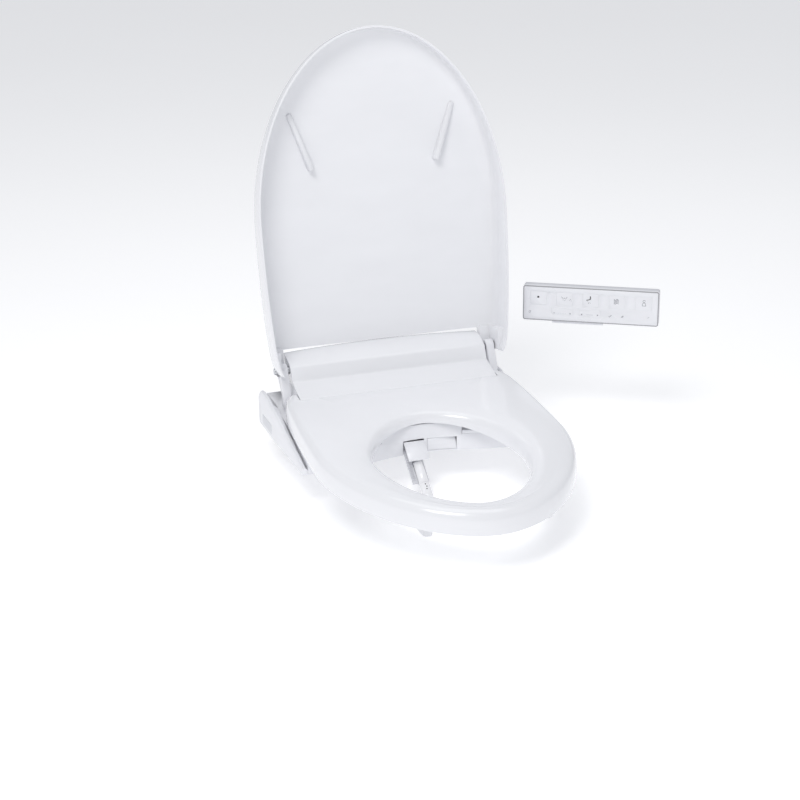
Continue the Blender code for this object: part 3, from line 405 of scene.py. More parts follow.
def dress(obj, material, body):
    """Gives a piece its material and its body."""
    repaint(obj, material)
    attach(obj, body)
    return obj


def stand_in(obj, *names):
    """A finished piece takes the place, material and body of CAD nodes."""
    dress(obj, MATERIALS[SLOT_OF[names[0]]], BODY_OF[names[0]])
    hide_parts(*names)
    return obj


def mirrored(sign, span):
    """A span of X on the left (-1) or the right (1) of the middle, lowest end first."""
    return sorted(sign * x for x in span)


def put(obj, turn):
    """Moves a mesh by a matrix, leaving its object at the origin."""
    obj.data.transform(turn)
    return obj


def turned_about_x(degrees, centre):
    """Turns local axes about X and moves their origin to a centre in millimetres."""
    return Matrix.Translation(Vector(centre) * MM) @ Matrix.Rotation(math.radians(degrees), 4, "X")


def polished(node, width, segments=2, name=None):
    """A copy of a CAD node with clean faces and rounded edges, which takes its place."""
    mesh = NODES[node].data.copy()
    bm = bmesh.new()
    bm.from_mesh(mesh)
    bmesh.ops.remove_doubles(bm, verts=bm.verts, dist=2e-6)
    bmesh.ops.dissolve_limit(
        bm, angle_limit=math.radians(0.3), verts=bm.verts, edges=bm.edges, delimit={"NORMAL"}
    )
    bmesh.ops.triangulate(bm, faces=bm.faces)
    bm.to_mesh(mesh)
    bm.free()
    obj = new_object(name or node + "_finish", mesh)
    finish_edges(obj, width, segments, 38.0, 42.0)
    return stand_in(obj, node)


# ---------------------------------------------------------------- outlines


def reach(inside, angle, far=600.0):
    """How far an outline lies from its centre in one direction, by halving."""
    near = 0.0
    for _ in range(36):
        middle = 0.5 * (near + far)
        if inside(middle * math.cos(angle), middle * math.sin(angle)):
            near = middle
        else:
            far = middle
    return near


def directions(count, corners, spread_deg):
    """Evenly spaced directions, with extra ones either side of each tight corner."""
    found = {round(360.0 * i / count, 3) for i in range(count)}
    for corner in corners:
        nearby = [corner] + [corner + s * d for d in spread_deg for s in (-1, 1)]
        found = {a for a in found if all(abs(a - b) > 0.45 for b in nearby)}
        found |= {round(b % 360.0, 3) for b in nearby}
    return [math.radians(a) for a in sorted(found)]


SPREAD = (0.6, 1.2, 2.0, 3.0, 4.2)


def inside_lid(x, away):
    u = LID_CENTRE_U + away
    if u > LID_WIDEST_U:
        t = (u - LID_WIDEST_U) / (LID_LENGTH - LID_WIDEST_U)
        return (abs(x) / LID_HALF) ** LID_FRONT_POWER + t**LID_FRONT_POWER <= 1.0
    t = (LID_WIDEST_U - u) / LID_WIDEST_U
    half = LID_HALF - (LID_HALF - LID_REAR_HALF) * t * t
    return (abs(x) / half) ** LID_REAR_POWER + t**LID_REAR_POWER <= 1.0


def lid_depth(u):
    return LID_DEPTH_REAR + (LID_DEPTH_TIP - LID_DEPTH_REAR) * u / LID_LENGTH


def lid_angles(count=220):
    corner = math.degrees(math.atan2(LID_CENTRE_U, LID_REAR_HALF))
    return directions(count, (360.0 - corner, 180.0 + corner), SPREAD)


def lid_rings(inset, angles, lowest=0.0, steps=18):
    """Rings of the domed lid from its rim to the middle of its back."""
    reaches = [reach(inside_lid, a) - inset for a in angles]
    levels = [90.0 * (k / steps) ** 1.25 for k in range(steps)]
    pairs = [(math.cos(math.radians(d)), math.sin(math.radians(d))) for d in levels]
    shares = [(c ** (2 / LID_EDGE_POWER), s ** (2 / LID_EDGE_POWER)) for c, s in pairs]
    for share in (0.5, 0.35, 0.2, 0.08):
        shares.append((share, (1 - share**LID_EDGE_POWER) ** (1 / LID_EDGE_POWER)))
    rings = []
    for k, (share, rise) in enumerate(shares):
        ring = []
        for angle, far in zip(angles, reaches):
            x = share * far * math.cos(angle)
            u = LID_CENTRE_U + share * far * math.sin(angle)
            height = lowest if k == 0 else (lid_depth(u) - inset) * rise
            ring.append((x, LID_AXIS_U - u, height - LID_AXIS_W))
        rings.append(ring)
    return rings


def lid_block(name, span_x, span_u, span_w):
    first = (span_x[0], LID_AXIS_U - span_u[1], span_w[0] - LID_AXIS_W)
    last = (span_x[1], LID_AXIS_U - span_u[0], span_w[1] - LID_AXIS_W)
    return block(name, first, last)


# ---------------------------------------------------------------- lid


LID_PLACE = turned_about_x(-LID_OPEN_DEG, HINGE)


def make_lid():
    angles = lid_angles()
    outer = lid_rings(0.0, angles)
    inner = lid_rings(LID_WALL, angles)
    shell = solid("lid", *skin(outer[::-1] + inner))
    for sign in (-1, 1):
        ear = solid("ear", *skin(lid_rings(EAR_INSET, lid_angles(140), 0.0, 12)))
        cut(ear, lid_block("slab", mirrored(sign, EAR_X), EAR_U, EAR_W), "INTERSECT")
        cut(shell, ear, "UNION")
    neck_x = (-LID_NECK_HALF, LID_NECK_HALF)
    cut(shell, lid_block("neck", neck_x, (-20.0, LID_NECK_U), (-10.0, 100.0)))
    for sign in (-1, 1):
        cut(shell, lid_block("slot", mirrored(sign, ARM_SLOT_X), ARM_SLOT_U, ARM_SLOT_W))
        cut(shell, prism("bore", circle(EAR_BORE_R, 32), "X", *mirrored(sign, EAR_BORE_X)))
    finish_edges(shell, 0.9, 3, 40.0, 60.0)
    put(shell, LID_PLACE)
    stand_in(shell, "lid_shell")


def make_lid_bumper(side, sign):
    """A soft strip with a crowned face, standing out of the back of the lid."""
    top, bottom = ((sign * x, u) for x, u in (LID_BUMPER_TOP, LID_BUMPER_BOTTOM))
    length = math.hypot(top[0] - bottom[0], top[1] - bottom[1])
    lean = math.atan2(top[0] - bottom[0], top[1] - bottom[1])
    height = lid_depth(bottom[1]) - LID_AXIS_W
    rings = []
    for half, rise in ((2.2, -16.5), (3.4, -15.6), (4.0, -14.2), (4.2, -12.0), (4.2, 6.0)):
        outline = rounded(-half, half, -half, length + half, half - 0.05, 8)
        ring = []
        for a, b in outline:
            x = bottom[0] + a * math.cos(lean) + b * math.sin(lean)
            u = bottom[1] - a * math.sin(lean) + b * math.cos(lean)
            ring.append((x, LID_AXIS_U - u, height + rise))
        rings.append(ring)
    strip = solid("bumper_" + side, *skin(rings))
    room = solid("room", *skin(lid_rings(LID_WALL + 0.3, lid_angles(140), -20.0, 12)))
    cut(strip, room, "INTERSECT")
    finish_edges(strip, 0.0)
    put(strip, LID_PLACE)
    stand_in(strip, "lid_bumper_" + side)


# ---------------------------------------------------------------- seat


def seat_lift(y):
    return SEAT_FRONT_BOTTOM + SEAT_SLOPE * (y - SEAT_TIP_Y)


def inside_seat(x, away):
    y = SEAT_CENTRE_Y + away
    if y < SEAT_WIDEST_Y:
        t = (SEAT_WIDEST_Y - y) / (SEAT_WIDEST_Y - SEAT_TIP_Y)
        return (abs(x) / SEAT_HALF) ** SEAT_FRONT_POWER + t**SEAT_FRONT_POWER <= 1.0
    t = (y - SEAT_WIDEST_Y) / (SEAT_REAR_Y - SEAT_WIDEST_Y)
    half = SEAT_HALF - SEAT_REAR_TAPER * t * t
    return (abs(x) / half) ** SEAT_REAR_POWER + t**SEAT_REAR_POWER <= 1.0


def inside_opening(x, away):
    y = SEAT_CENTRE_Y + away
    end = OPENING_FRONT_Y if y < OPENING_WIDEST_Y else OPENING_REAR_Y
    t = (y - OPENING_WIDEST_Y) / (end - OPENING_WIDEST_Y)
    return (abs(x) / OPENING_HALF) ** OPENING_POWER + t**OPENING_POWER <= 1.0


def seat_angles(count=230):
    corner = math.degrees(math.atan2(SEAT_REAR_Y - SEAT_CENTRE_Y, SEAT_HALF - SEAT_REAR_TAPER))
    return directions(count, (corner, 180.0 - corner), SPREAD)


def seat_station(angle, section):
    """A cross-section of the ring at one direction, from points of (edge, inset, height)."""
    far = reach(inside_seat, angle)
    near = reach(inside_opening, angle)
    lift = OPENING_REAR_LIFT * max(0.0, math.sin(angle)) ** 2
    points = []
    for edge, inset, height in section:
        if edge == "outer":
            distance = far - inset
        else:
            distance = near + inset
            height = height + lift * (1.0 - height / SEAT_THICK)
        x = distance * math.cos(angle)
        y = SEAT_CENTRE_Y + distance * math.sin(angle)
        points.append((x, y, height + seat_lift(y)))
    return points


SEAT_SECTION = (
    ("outer", 0.6, 0.0),
    ("outer", 0.0, 8.0),
    ("outer", 0.4, 19.0),
    ("outer", 2.4, 26.0),
    ("outer", 7.4, 30.8),
    ("outer", 18.0, SEAT_THICK),
    ("inner", 30.0, 31.0),
    ("inner", 14.0, 28.0),
    ("inner", 5.0, 24.0),
    ("inner", 0.8, 17.0),
    ("inner", 0.0, 9.0),
    ("inner", 1.0, 0.0),
)


def between(a, b, c, d, share):
    """A point from b to c on a curve whose knots are spaced by the root of each gap: no folds."""
    knots = [0.0]
    for first, second in ((a, b), (b, c), (c, d)):
        knots.append(knots[-1] + max(math.sqrt((second - first).length), 0.001))
    k0, k1, k2, k3 = knots
    t = k1 + (k2 - k1) * share
    ab = a + (b - a) * ((t - k0) / (k1 - k0))
    bc = b + (c - b) * ((t - k1) / (k2 - k1))
    cd = c + (d - c) * ((t - k2) / (k3 - k2))
    abc = ab + (bc - ab) * ((t - k0) / (k2 - k0))
    bcd = bc + (cd - bc) * ((t - k1) / (k3 - k1))
    return abc + (bcd - abc) * ((t - k1) / (k2 - k1))


def smooth_loop(points, steps=4):
    """A curve through points in space, straight across the gap between the last and the first."""
    spots = [Vector(p) for p in points]
    ends = [2 * spots[0] - spots[1], *spots, 2 * spots[-1] - spots[-2]]
    result = []
    for a, b, c, d in zip(ends, ends[1:], ends[2:], ends[3:]):
        result += [tuple(between(a, b, c, d, k / steps)) for k in range(steps)]
    result.append(tuple(spots[-1]))
    return result


def inset_section(wall, lowest):
    """The section of the hollow in the ring, a wall's thickness inside, open at the bottom."""
    inner = [(e, inset + wall, max(height - wall, 0.0)) for e, inset, height in SEAT_SECTION[1:-1]]
    inner[0] = ("outer", wall + 0.6, lowest)
    inner[-1] = ("inner", wall + 1.0, lowest)
    return inner


def seat_notch(margin):
    """Room behind the seat for the hinge bar and its front plate."""
    half = BAR_HALF + NOTCH_GAP + margin
    front = PLATE_FRONT_Y - NOTCH_GAP - margin
    return block("notch", (-half, front, -60.0), (half, 40.0, 160.0))


def seat_recess(margin):
    """Room under the seat for the base's brow over the wand."""
    outline = [
        (-132.0 - margin, -60.0),
        (-132.0 - margin, 41.0 + margin),
        (-100.0 - margin, 58.5 + margin),
        (-77.0 - margin, 66.2 + margin),
        (-30.0, 66.2 + margin),
        (-30.0, -60.0),
    ]
    return prism("recess", outline, "X", RECESS_X[0] - margin, RECESS_X[1] + margin)


def make_seat():
    rings = []
    for angle in seat_angles():
        rings.append(smooth_loop(seat_station(angle, SEAT_SECTION)))
    ring = solid("seat_ring", *skin(rings, closed=True))
    cut(ring, seat_notch(0.0))
    cut(ring, seat_recess(0.0))
    section = inset_section(SEAT_WALL, -6.0)
    room = solid("room", *skin([seat_station(a, section) for a in seat_angles(120)], closed=True))
    cut(room, seat_notch(SEAT_WALL))
    cut(room, seat_recess(SEAT_WALL))
    cut(ring, room)
    finish_edges(ring, 0.6, 3, 34.0, 60.0)
    stand_in(ring, "seat_top")


def make_seat_underside():
    """The seat's bottom plate, with a shallow groove round it and a shallow screw hole at each screw place."""
    section = [
        ("outer", 4.2, 0.4),
        ("outer", 4.2, 3.0),
        ("inner", 4.6, 3.0),
        ("inner", 4.6, 0.4),
        ("inner", 9.0, 0.4),
        ("inner", 9.6, 1.3),
        ("inner", 11.6, 1.3),
        ("inner", 12.2, 0.4),
        ("outer", 12.2, 0.4),
        ("outer", 11.6, 1.3),
        ("outer", 9.6, 1.3),
        ("outer", 9.0, 0.4),
    ]
    stations = [seat_station(angle, section) for angle in seat_angles()]
    plate = solid("seat_plate", *skin(stations, closed=True))
    cut(plate, seat_notch(SEAT_WALL + 0.3))
    cut(plate, seat_recess(SEAT_WALL + 0.3))
    for x, y in SEAT_SCREWS:
        hole = prism("hole", circle(3.6, 24, (x, y)), "Z", 0.0, seat_lift(y) + 2.0)
        cut(plate, hole)
    finish_edges(plate, 0.25, 2, 40.0, 40.0)
    stand_in(plate, "seat_bottom")


# ---------------------------------------------------------------- hinge bar


def bar_profile(inset, drop=0.0):
    """Side view of the front plate and hinge bar, as (y, z), with its top lowered by a drop."""
    front, rear = PLATE_FRONT_Y + inset, 47.5 - inset
    points = [(front, 46.0), (front, 69.9 - inset)]
    for k in range(5):
        angle = math.radians(180.0 - 22.5 * k * 0.9)
        points.append((front + 2.0 + 2.0 * math.cos(angle), 70.2 - inset + 1.9 * math.sin(angle)))
    points += [(-12.0, 83.7 - inset), (-9.4, 84.5 - inset), (-7.6 + 0.5 * inset, 85.8 - inset)]
    points += [(-6.4 + inset, 88.0 - inset), (0.2 + inset, 102.2 - inset)]
    points.append((1.3 + inset, 104.2 - inset))
    points.append((3.4 + inset, 106.0 - inset - 0.1 * drop))
    for k in range(1, 13):
        share = k / 12.0
        y = 3.4 + inset + (43.5 - 3.4) * share - 0.6 * inset * share
        z = 106.2 - inset + (BAR_TOP_Z - 106.2) * math.sin(0.5 * math.pi * share)
        points.append((y, z - drop * share))
    points += [(rear - 1.5, 119.2 - inset - drop), (rear - 0.3, 117.8 - inset - drop)]
    points += [(rear, 115.0 - inset - drop), (rear, 46.0)]
    return points


def make_top_cover():
    """Plate and bar in one shell, its back edge falling a little towards both ends."""
    rings = []
    for k in range(25):
        x = -BAR_HALF + 2.0 * BAR_HALF * k / 24.0
        drop = BAR_CROWN * (x / BAR_HALF) ** 2
        rings.append([(x, y, z) for y, z in bar_profile(0.0, drop)])
    cover = solid("hinge_bar", *skin(rings))
    inner = [(y, z if z > 50.0 else z - 4.0) for y, z in bar_profile(BAR_WALL, BAR_CROWN)]
    cut(cover, prism("room", inner, "X", -(BAR_HALF - BAR_WALL), BAR_HALF - BAR_WALL))
    slope = [(-48.1, 40.0), (60.0, 40.0), (60.0, 80.3), (-8.5, 80.3), (-48.1, 68.7)]
    cut(cover, prism("slope", slope, "X", -170.0, 170.0))
    cut(cover, block("mouth", (-52.0, -60.0, 30.0), (14.0, -40.0, 66.0)))
    cut(cover, prism("bore", circle(BAR_BORE_R, 32, (HINGE.y, HINGE.z)), "X", -170.0, 170.0))
    finish_edges(cover, 1.0, 3, 50.0, 50.0)
    stand_in(cover, "top_cover")


# ---------------------------------------------------------------- wand


def wand_place():
    return turned_about_x(WAND_TILT_DEG, (WAND_X, WAND_Y, WAND_Z))


def wand_rings(profile, steps=48):
    """Rings round the wand's axis, from pairs of distance along it and radius."""
    return [[(x, -s, n) for x, n in circle(r, steps)] for s, r in profile]


def make_wand():
    """The wand's tube, with a seam before its tip."""
    body = [(WAND_START, WAND_R - 0.4), (WAND_START + 0.4, WAND_R), (TIP_START - 0.7, WAND_R)]
    body += [(TIP_START - 0.3, WAND_R - 0.35), (TIP_START - 0.05, WAND_R - 0.6)]
    wand = solid("wand", *skin(wand_rings(body)))
    way = [(WAND_START - 5.0, WAND_BORE_R), (TIP_START - 6.0, WAND_BORE_R)]
    cut(wand, solid("way", *skin(wand_rings(way, 24))))
    finish_edges(wand, 0.0)
    put(wand, wand_place())
    stand_in(wand, "nozzle_wand")


def make_wand_tip():
    """The spray tip, round at its end and flat on top."""
    shape = [(TIP_START + 0.05, WAND_R - 0.6), (TIP_START + 0.3, WAND_R - 0.3)]
    shape.append((TIP_START + 0.6, WAND_R))
    for k in range(0, 8):
        angle = math.radians(90.0 * k / 8)
        s = WAND_END - TIP_ROUND + TIP_ROUND * math.sin(angle)
        shape.append((s, WAND_R - 3.4 + 3.4 * math.cos(angle)))
    shape.append((WAND_END, WAND_R - 3.9))
    tip = solid("wand_tip", *skin(wand_rings(shape)))
    flat = block("flat", (-20.0, -WAND_END + 3.5, WAND_R - 0.7), (20.0, -TIP_START - 1.2, 20.0))
    cut(tip, flat)
    finish_edges(tip, 0.3, 3, 20.0, 50.0)
    put(tip, wand_place())
    stand_in(tip, "nozzle_tip")


def make_spray_holes():
    """Three holes in the flat of the tip, the middle one a little to the side, shown as dark discs of painted
    shade rather than cut.
    """
    levels = ((SPRAY_R, WAND_R - 0.95), (SPRAY_R, WAND_R - 0.62), (0.6, WAND_R - 0.6))
    for k in range(3):
        s = SPRAY_FIRST + SPRAY_PITCH * k
        x = 0.5 if k == 1 else -0.6
        # Each disc is painted shade: a dark plug where the hole's hollow would be
        rings = [[(a, b, n) for a, b in circle(r, 20, (x, -s))] for r, n in levels]
        hole = solid(f"spray_hole_shade_{k + 1}", *skin(rings))
        finish_edges(hole, 0.0)
        put(hole, wand_place())
        dress(hole, DARK_INK_AND_HOLE_SHADE, BODY_OF["nozzle_tip"])


# ---------------------------------------------------------------- bolts


def make_bolt(side):
    """A mounting bolt with rolled thread below its wide head."""
    x = 0.5 * (low("mounting_bolt_" + side).x + high("mounting_bolt_" + side).x)
    end, start = low("mounting_bolt_" + side).z, -2.0
    profile = [(2.6, end), (3.4, end + 0.8)]
    z = end + 1.2
    while z < start - THREAD_PITCH:
        profile.append((THREAD_ROOT, z))
        profile.append((THREAD_CREST, z + 0.4 * THREAD_PITCH))
        profile.append((THREAD_CREST, z + 0.6 * THREAD_PITCH))
        z += THREAD_PITCH
    profile += [(THREAD_ROOT, z), (THREAD_CREST, start), (THREAD_CREST, 1.3)]
    profile += [(9.0, 1.3), (9.0, 2.1), (8.6, 2.5)]
    rings = [[(a, b, z) for a, b in circle(r, 36, (x, 0.0))] for r, z in profile]
    bolt = solid("bolt_" + side, *skin(rings))
    cut(bolt, prism("hex", circle(3.0, 6, (x, 0.0)), "Z", 0.4, 6.0))
    finish_edges(bolt, 0.0, smooth_deg=28.0)
    stand_in(bolt, "mounting_bolt_" + side)


# ---------------------------------------------------------------- remote


REMOTE_PLACE = Matrix.Translation(Vector(REMOTE_CENTRE) * MM) @ Matrix.Rotation(
    math.radians(REMOTE_TURN_DEG), 4, "Z"
)
# Half of its length, height and depth
HALF, TALL, DEEP = 0.5 * REMOTE_LENGTH, 0.5 * REMOTE_HEIGHT, 0.5 * REMOTE_DEPTH
BEZEL_WIDE, RIM_DEEP, SHELL_SPLIT = 1.6, 1.3, 6.0
KEY_SEAM = 0.05


def key_outline(label, grow=0.0):
    if label in KEYS:
        x, half, (z0, z1) = KEYS[label], KEY_HALF, KEY_Z
    else:
        x, half, (z0, z1) = ROCKERS[label], ROCKER_HALF, ROCKER_Z
    return rounded(x - half - grow, x + half + grow, z0 - grow, z1 + grow, 2.2, 5)


def face_outline(inset, radius):
    """The remote's front outline, brought in by an inset."""
    return rounded(-HALF + inset, HALF - inset, -TALL + inset, TALL - inset, radius, 8)


def make_remote():
    """A grey rim round a white face, a white band behind it, and keys nearly flush with it."""
    outer = face_outline(0.0, 3.5)
    inner = face_outline(BEZEL_WIDE, 2.2)
    split = -DEEP + SHELL_SPLIT
    rim = prism("remote_rim", outer, "Y", -DEEP, -DEEP + RIM_DEEP)
    cut(rim, prism("room", inner, "Y", -DEEP - 5.0, split))
    finish_edges(rim, 0.35, 3, 40.0, 50.0)
    put(rim, REMOTE_PLACE)
    dress(rim, BEZEL, BODY_OF["remote_front"])
    outline = face_outline(BEZEL_WIDE + 0.08, 2.1)
    face = prism("remote_face", outline, "Y", -DEEP + 0.05, -DEEP + 2.0)
    for label in (*KEYS, *ROCKERS):
        cut(face, prism("window", key_outline(label, KEY_SEAM), "Y", -DEEP - 2.0, split))
    finish_edges(face, 0.04, 1, 40.0, 50.0)
    band = prism("band", outer, "Y", -DEEP + RIM_DEEP + 0.02, split)
    cut(band, prism("room", inner, "Y", -DEEP, split + 5.0))
    cut(face, band, "UNION")
    put(face, REMOTE_PLACE)
    stand_in(face, "remote_front")
    repaint(face, FACE)
    for label in (*KEYS, *ROCKERS):
        node = ("key_" if label in KEYS else "rocker_") + label
        key = prism(node + "_cap", key_outline(label), "Y", -DEEP + 0.03, -DEEP + 2.6)
        finish_edges(key, 0.04, 1, 40.0, 50.0)
        put(key, REMOTE_PLACE)
        stand_in(key, node)
        repaint(key, FACE)


def stroke(points, width):
    """A flat ribbon round a line of points, as one closed outline."""
    left, right = [], []
    last = len(points) - 1
    for i, (x, z) in enumerate(points):
        (xa, za), (xb, zb) = points[max(i - 1, 0)], points[min(i + 1, last)]
        length = math.hypot(xb - xa, zb - za) or 1.0
        nx, nz = -(zb - za) / length, (xb - xa) / length
        left.append((x + 0.5 * width * nx, z + 0.5 * width * nz))
        right.append((x - 0.5 * width * nx, z - 0.5 * width * nz))
    return left + right[::-1]


def arc(cx, cz, radius, start_deg, end_deg, steps=10, squash=1.0):
    points = []
    for k in range(steps + 1):
        angle = math.radians(start_deg + (end_deg - start_deg) * k / steps)
        points.append((cx + radius * math.cos(angle), cz + squash * radius * math.sin(angle)))
    return points


def dots(*spots, steps=12):
    """Small discs from (radius, x, z)."""
    return [circle(radius, steps, (x, z)) for radius, x, z in spots]


def print_mark(name, outlines, node, ink, x, z):
    """A printed symbol, as a thin raised layer on a key or on the remote's face."""
    points, faces = [], []
    for outline in outlines:
        layers = (-DEEP - 0.05, -DEEP + 0.4)
        rings = [[(a + x, y, b + z) for a, b in outline] for y in layers]
        found, sides = skin(rings)
        faces += [tuple(i + len(points) for i in face) for face in sides]
        points += found
    mark = solid(name, points, faces)
    put(mark, REMOTE_PLACE)
    dress(mark, ink, BODY_OF[node])


def make_key_marks():
    """Plain symbols on the keys: stop, the two washes, dryer and user."""
    top = MARKS_TOP
    square = rounded(-1.5, 1.5, -1.5, 1.5, 0.4, 3)
    print_mark("mark_stop", [square], "key_stop", DARK_INK_AND_HOLE_SHADE, KEYS["stop"], top + 1.0)
    spray = [
        stroke(arc(0.0, 3.2, 4.6, 200.0, 250.0, 6), 0.7),
        stroke(arc(0.0, 3.2, 4.6, 290.0, 340.0, 6), 0.7),
        *dots((0.7, 0.0, -0.4), (0.5, -1.8, -3.2), (0.5, 1.8, -3.2), (0.5, 0.0, -4.2)),
    ]
    print_mark("mark_rear", spray, "key_rear", INK_GREY, KEYS["rear"], top + 1.5)
    drops = dots((0.7, 0.0, 1.4), (0.55, -1.5, -0.4), (0.55, 1.4, -0.9))
    print_mark("mark_rear_soft", drops, "key_rear", INK_PALE, KEYS["rear"] + 9.5, top - 2.0)
    falling = ((0.45, -2.2, -3.6), (0.45, -0.4, -4.6), (0.45, 1.4, -5.6), (0.45, -1.2, -6.4))
    seated = [
        stroke([(1.6, 5.2), (1.9, 2.2), (1.2, 0.0)], 1.6),
        stroke([(1.2, 0.0), (-1.6, -0.7), (-4.4, -1.4)], 1.3),
        *dots(*falling, steps=10),
    ]
    print_mark("mark_front", seated, "key_front", DARK_INK_AND_HOLE_SHADE, KEYS["front"] - 2.0, top + 1.0)
    across = [-3.6 + 0.6 * i for i in range(13)]
    waves = []
    for k in range(4):
        waves.append(stroke([(x, 1.0 * math.sin(x * 1.1) - 3.0 + 2.0 * k) for x in across], 0.8))
    print_mark("mark_dryer", waves, "key_dryer", INK_GREY, KEYS["dryer"] - 1.0, top)
    person = [
        stroke(arc(0.0, 3.0, 1.9, 0.0, 340.0, 18), 0.6),
        stroke(arc(0.0, -3.6, 2.7, -20.0, 200.0, 16, 1.5), 0.7),
        stroke([(-2.6, -4.6), (2.6, -4.6)], 0.7),
    ]
    print_mark("mark_person", person, "key_person", INK_GREY, KEYS["person"] + 1.0, top)


def make_low_marks():
    """The lower row: less and more, back and forward, and four small lights and signs."""
    row = MARKS_LOW
    pressure, position = ROCKERS["pressure"], ROCKERS["position"]
    end = 12.5
    minus = [stroke([(-1.5, 0.0), (1.5, 0.0)], 0.6)]
    print_mark("mark_less", minus, "rocker_pressure", INK_GREY, pressure - end, row)
    plus = [
        stroke([(-1.5, 0.0), (1.5, 0.0)], 0.6),
        stroke([(0.0, -1.5), (0.0, -0.35)], 0.6),
        stroke([(0.0, 0.35), (0.0, 1.5)], 0.6),
    ]
    print_mark("mark_more", plus, "rocker_pressure", INK_GREY, pressure + end, row)
    levels = dots(*((0.35, 2.6 * k, 0.0) for k in range(-2, 3)), steps=8)
    print_mark("mark_strength", levels, "rocker_pressure", INK_PALE, pressure, row)
    for name, sign in (("back", -1), ("forward", 1)):
        arrow = [(sign * 1.3, 0.0), (-sign * 1.0, 1.5), (-sign * 1.0, -1.5)]
        place = position + sign * end
        print_mark("mark_" + name, [arrow], "rocker_position", INK_GREY, place, row)
    line = [stroke([(-5.5, 0.0), (5.5, 0.0)], 0.4)]
    print_mark("mark_travel", line, "rocker_position", INK_PALE, position, row)
    leaf = [stroke(arc(0.0, 0.0, 2.0, 30.0, 300.0, 16), 0.7), *dots((0.8, 0.3, 0.2))]
    print_mark("mark_clean", leaf, "remote_front", INK_PALE, -94.5, row)
    tick = [stroke([(-2.2, -0.8), (-0.7, -1.6), (2.2, 1.6)], 0.8)]
    print_mark("mark_move", tick, "remote_front", INK_GREY, 31.0, row)
    pulse = [stroke([(-2.2, -1.2), (1.6, 1.6)], 0.8), stroke([(-0.6, -1.6), (2.2, 0.4)], 0.6)]
    print_mark("mark_pulse", pulse, "remote_front", INK_GREY, 50.0, row)
    light = [stroke([(-1.6, -0.6), (0.2, -0.6), (1.6, 0.9)], 0.5)]
    print_mark("mark_light", light, "remote_front", INK_GREY, 90.0, row + 1.0)


# ---------------------------------------------------------------- dryer door


def wall_front(x):
    """The front face of the base, hollowed to follow the bowl's opening."""
    share = min(abs(x) / WALL_CURVE_HALF, 1.0)
    fall = WALL_MID_Y - low("base_tray").y
    return WALL_MID_Y - fall * math.sin(0.5 * math.pi * share) ** 2


def make_dryer_door():
    """A thin door: its top keeps to its hinge, its lower edge follows the curve of the wall."""
    first, last = low("dryer_door"), high("dryer_door")
    rings = []
    for k in range(17):
        x = first.x + (last.x - first.x) * k / 16.0
        lip = wall_front(x) + DOOR_BEHIND
        rings.append([
            (x, first.y, last.z),
            (x, lip, first.z),
            (x, lip + DOOR_THICK, first.z),
            (x, first.y + DOOR_THICK, last.z),
        ])
    door = solid("dryer_door_skin", *skin(rings))
    finish_edges(door, 0.3, 2, 40.0, 50.0)
    stand_in(door, "dryer_door")


# ---------------------------------------------------------------- small details


def make_ear_sockets():
    """Grey hinge sockets, sunk in the inner faces of the lid's ears."""
    for side, sign in (("left", -1), ("right", 1)):
        outline = rounded(-SOCKET_HALF, SOCKET_HALF, -SOCKET_HALF, SOCKET_HALF, 5.0, 6)
        ends = mirrored(sign, SOCKET_X)
        plate = prism("ear_socket_" + side, outline, "X", *ends)
        bore = circle(SOCKET_BORE_R, 32)
        cut(plate, prism("bore", bore, "X", ends[0] - 2.0, ends[1] + 2.0))
        finish_edges(plate, 0.15, 2, 40.0, 40.0)
        put(plate, LID_PLACE)
        dress(plate, SOCKET_GREY, "lid")


# Nodes shown as polished copies, and how far their edges are rounded
POLISHED = {
    "base_tray": 0.6,
    "upper_case": 1.2,
    "side_cover_left": 1.0,
    "side_cover_right": 1.0,
    "nozzle_flap": 0.0,
    "nozzle_trough": 0.2,
    "seat_hinge_arm_left": 1.2,
    "seat_hinge_arm_right": 1.2,
    "seat_bumper_rear_left": 1.2,
    "seat_bumper_rear_right": 1.2,
    "seat_bumper_front_left": 1.2,
    "seat_bumper_front_right": 1.2,
    "mounting_plate": 0.5,
    "mounting_nut_left": 0.5,
    "mounting_nut_right": 0.5,
    "water_inlet": 0.2,
    "cord_gland": 0.3,
    "release_button": 0.8,
    "deodorizer_filter": 0.4,
    "remote_back": 0.8,
    "battery_door": 0.3,
    "wall_bracket": 0.5,
    "lid_hinge_shaft": 0.4,
    "seat_hinge_shaft": 0.4,
}
PALER = ("nozzle_trough", "remote_back")


def make_carried_over():
    """CAD nodes whose shapes are right: the seen ones with rounded edges, the rest as they are."""
    for node, width in POLISHED.items():
        piece = polished(node, width)
        if node in PALER:
            repaint(piece, PALE_GREY)
    for node, obj in NODES.items():
        if not obj.hide_render:
            repaint(obj, MATERIALS[SLOT_OF[node]])


# ---------------------------------------------------------------- studio


def make_floor():
    """A plain pale floor, with a little light of its own so that it stays near white."""
    level = cad_box[0][2] - 0.002
    side = 40.0
    square = ((-side, -side), (side, -side), (side, side), (-side, side))
    mesh = bpy.data.meshes.new("floor")
    mesh.from_pydata([(x, y, level) for x, y in square], [], [(0, 1, 2, 3)])
    floor = new_object("floor", mesh)
    material, tree, shader = new_material("floor", (0.93, 0.93, 0.935), 0.7)
    vary_colour(tree, shader, noise(tree, 1.5), (0.925, 0.925, 0.93), (0.935, 0.935, 0.94))
    add_bump(tree, shader, noise(tree, 300.0), 0.05, 0.0002)
    shader.inputs["Emission Color"].default_value = (1.0, 1.0, 1.0, 1.0)
    shader.inputs["Emission Strength"].default_value = 0.28
    floor.data.materials.append(material)


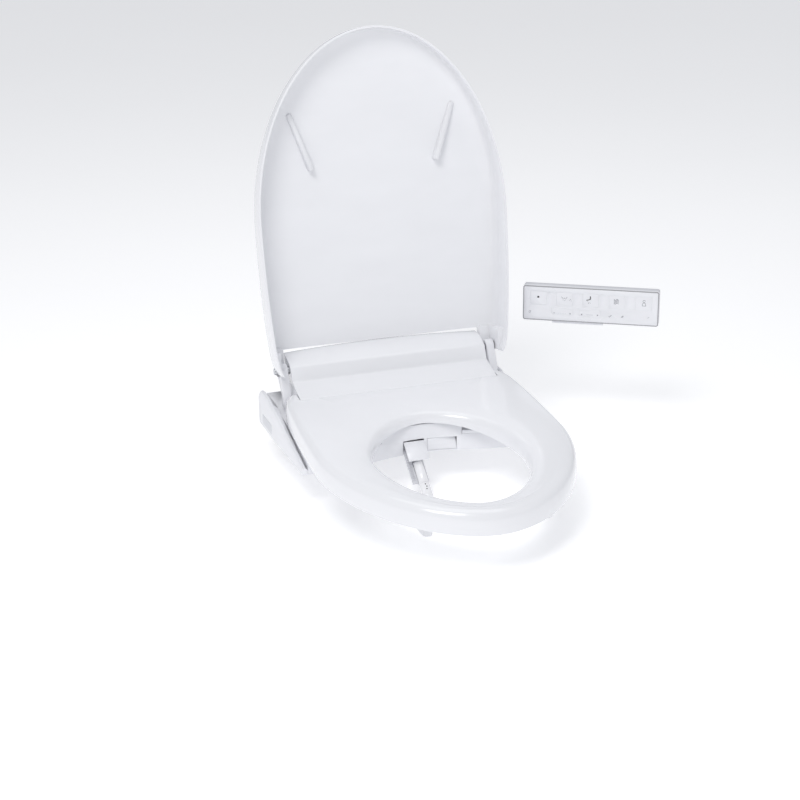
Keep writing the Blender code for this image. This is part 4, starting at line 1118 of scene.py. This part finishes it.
def make_light(name, place, target, size, watts, colour=(1.0, 1.0, 1.0)):
    data = bpy.data.lights.new(name, "AREA")
    data.shape = "DISK"
    data.size = size
    data.energy = watts
    data.color = colour
    lamp = new_object(name, data)
    lamp.location = place
    lamp.rotation_euler = (Vector(target) - Vector(place)).to_track_quat("-Z", "Y").to_euler()


def make_studio():
    world = bpy.data.worlds.new("studio")
    world.use_nodes = True
    sky = world.node_tree.nodes["Background"]
    sky.inputs["Color"].default_value = (0.93, 0.95, 1.0, 1.0)
    sky.inputs["Strength"].default_value = 0.5
    bpy.context.scene.world = world
    bpy.context.scene.view_settings.view_transform = "Standard"
    aim = (0.0, -0.15, 0.15)
    make_light("key", (-1.3, -1.6, 2.6), aim, 1.3, 34.0, (1.0, 0.99, 0.97))
    make_light("fill", (2.2, -1.8, 1.4), aim, 2.0, 2.5)
    make_light("top", (0.2, 0.3, 2.6), aim, 2.0, 12.0)


def make_camera():
    """The photo's camera: its own axes first, then its place along them."""
    turn, rise, roll = (math.radians(d) for d in (VIEW_AZIMUTH, VIEW_ELEVATION, VIEW_ROLL))
    flat = math.cos(rise)
    back = Vector((math.sin(turn) * flat, -math.cos(turn) * flat, math.sin(rise)))
    level = Vector((math.cos(turn), math.sin(turn), 0.0))
    above = back.cross(level)
    right = math.cos(roll) * level + math.sin(roll) * above
    up = -math.sin(roll) * level + math.cos(roll) * above
    data = bpy.data.cameras.new("camera")
    data.lens = VIEW_LENS
    data.sensor_width = 36.0
    camera = new_object("camera", data)
    turned = Matrix((right, up, back)).transposed().to_4x4()
    place = VIEW_DISTANCE * back + VIEW_ACROSS * right + VIEW_UP * up
    camera.matrix_world = Matrix.Translation(place) @ turned
    bpy.context.scene.camera = camera


# ---------------------------------------------------------------- build

make_camera()
make_studio()
make_floor()
make_lid()
for side, sign in (("left", -1), ("right", 1)):
    make_lid_bumper(side, sign)
    make_bolt(side)
make_ear_sockets()
make_seat()
make_seat_underside()
make_top_cover()
make_wand()
make_wand_tip()
make_spray_holes()
make_remote()
make_key_marks()
make_low_marks()
make_dryer_door()
make_carried_over()
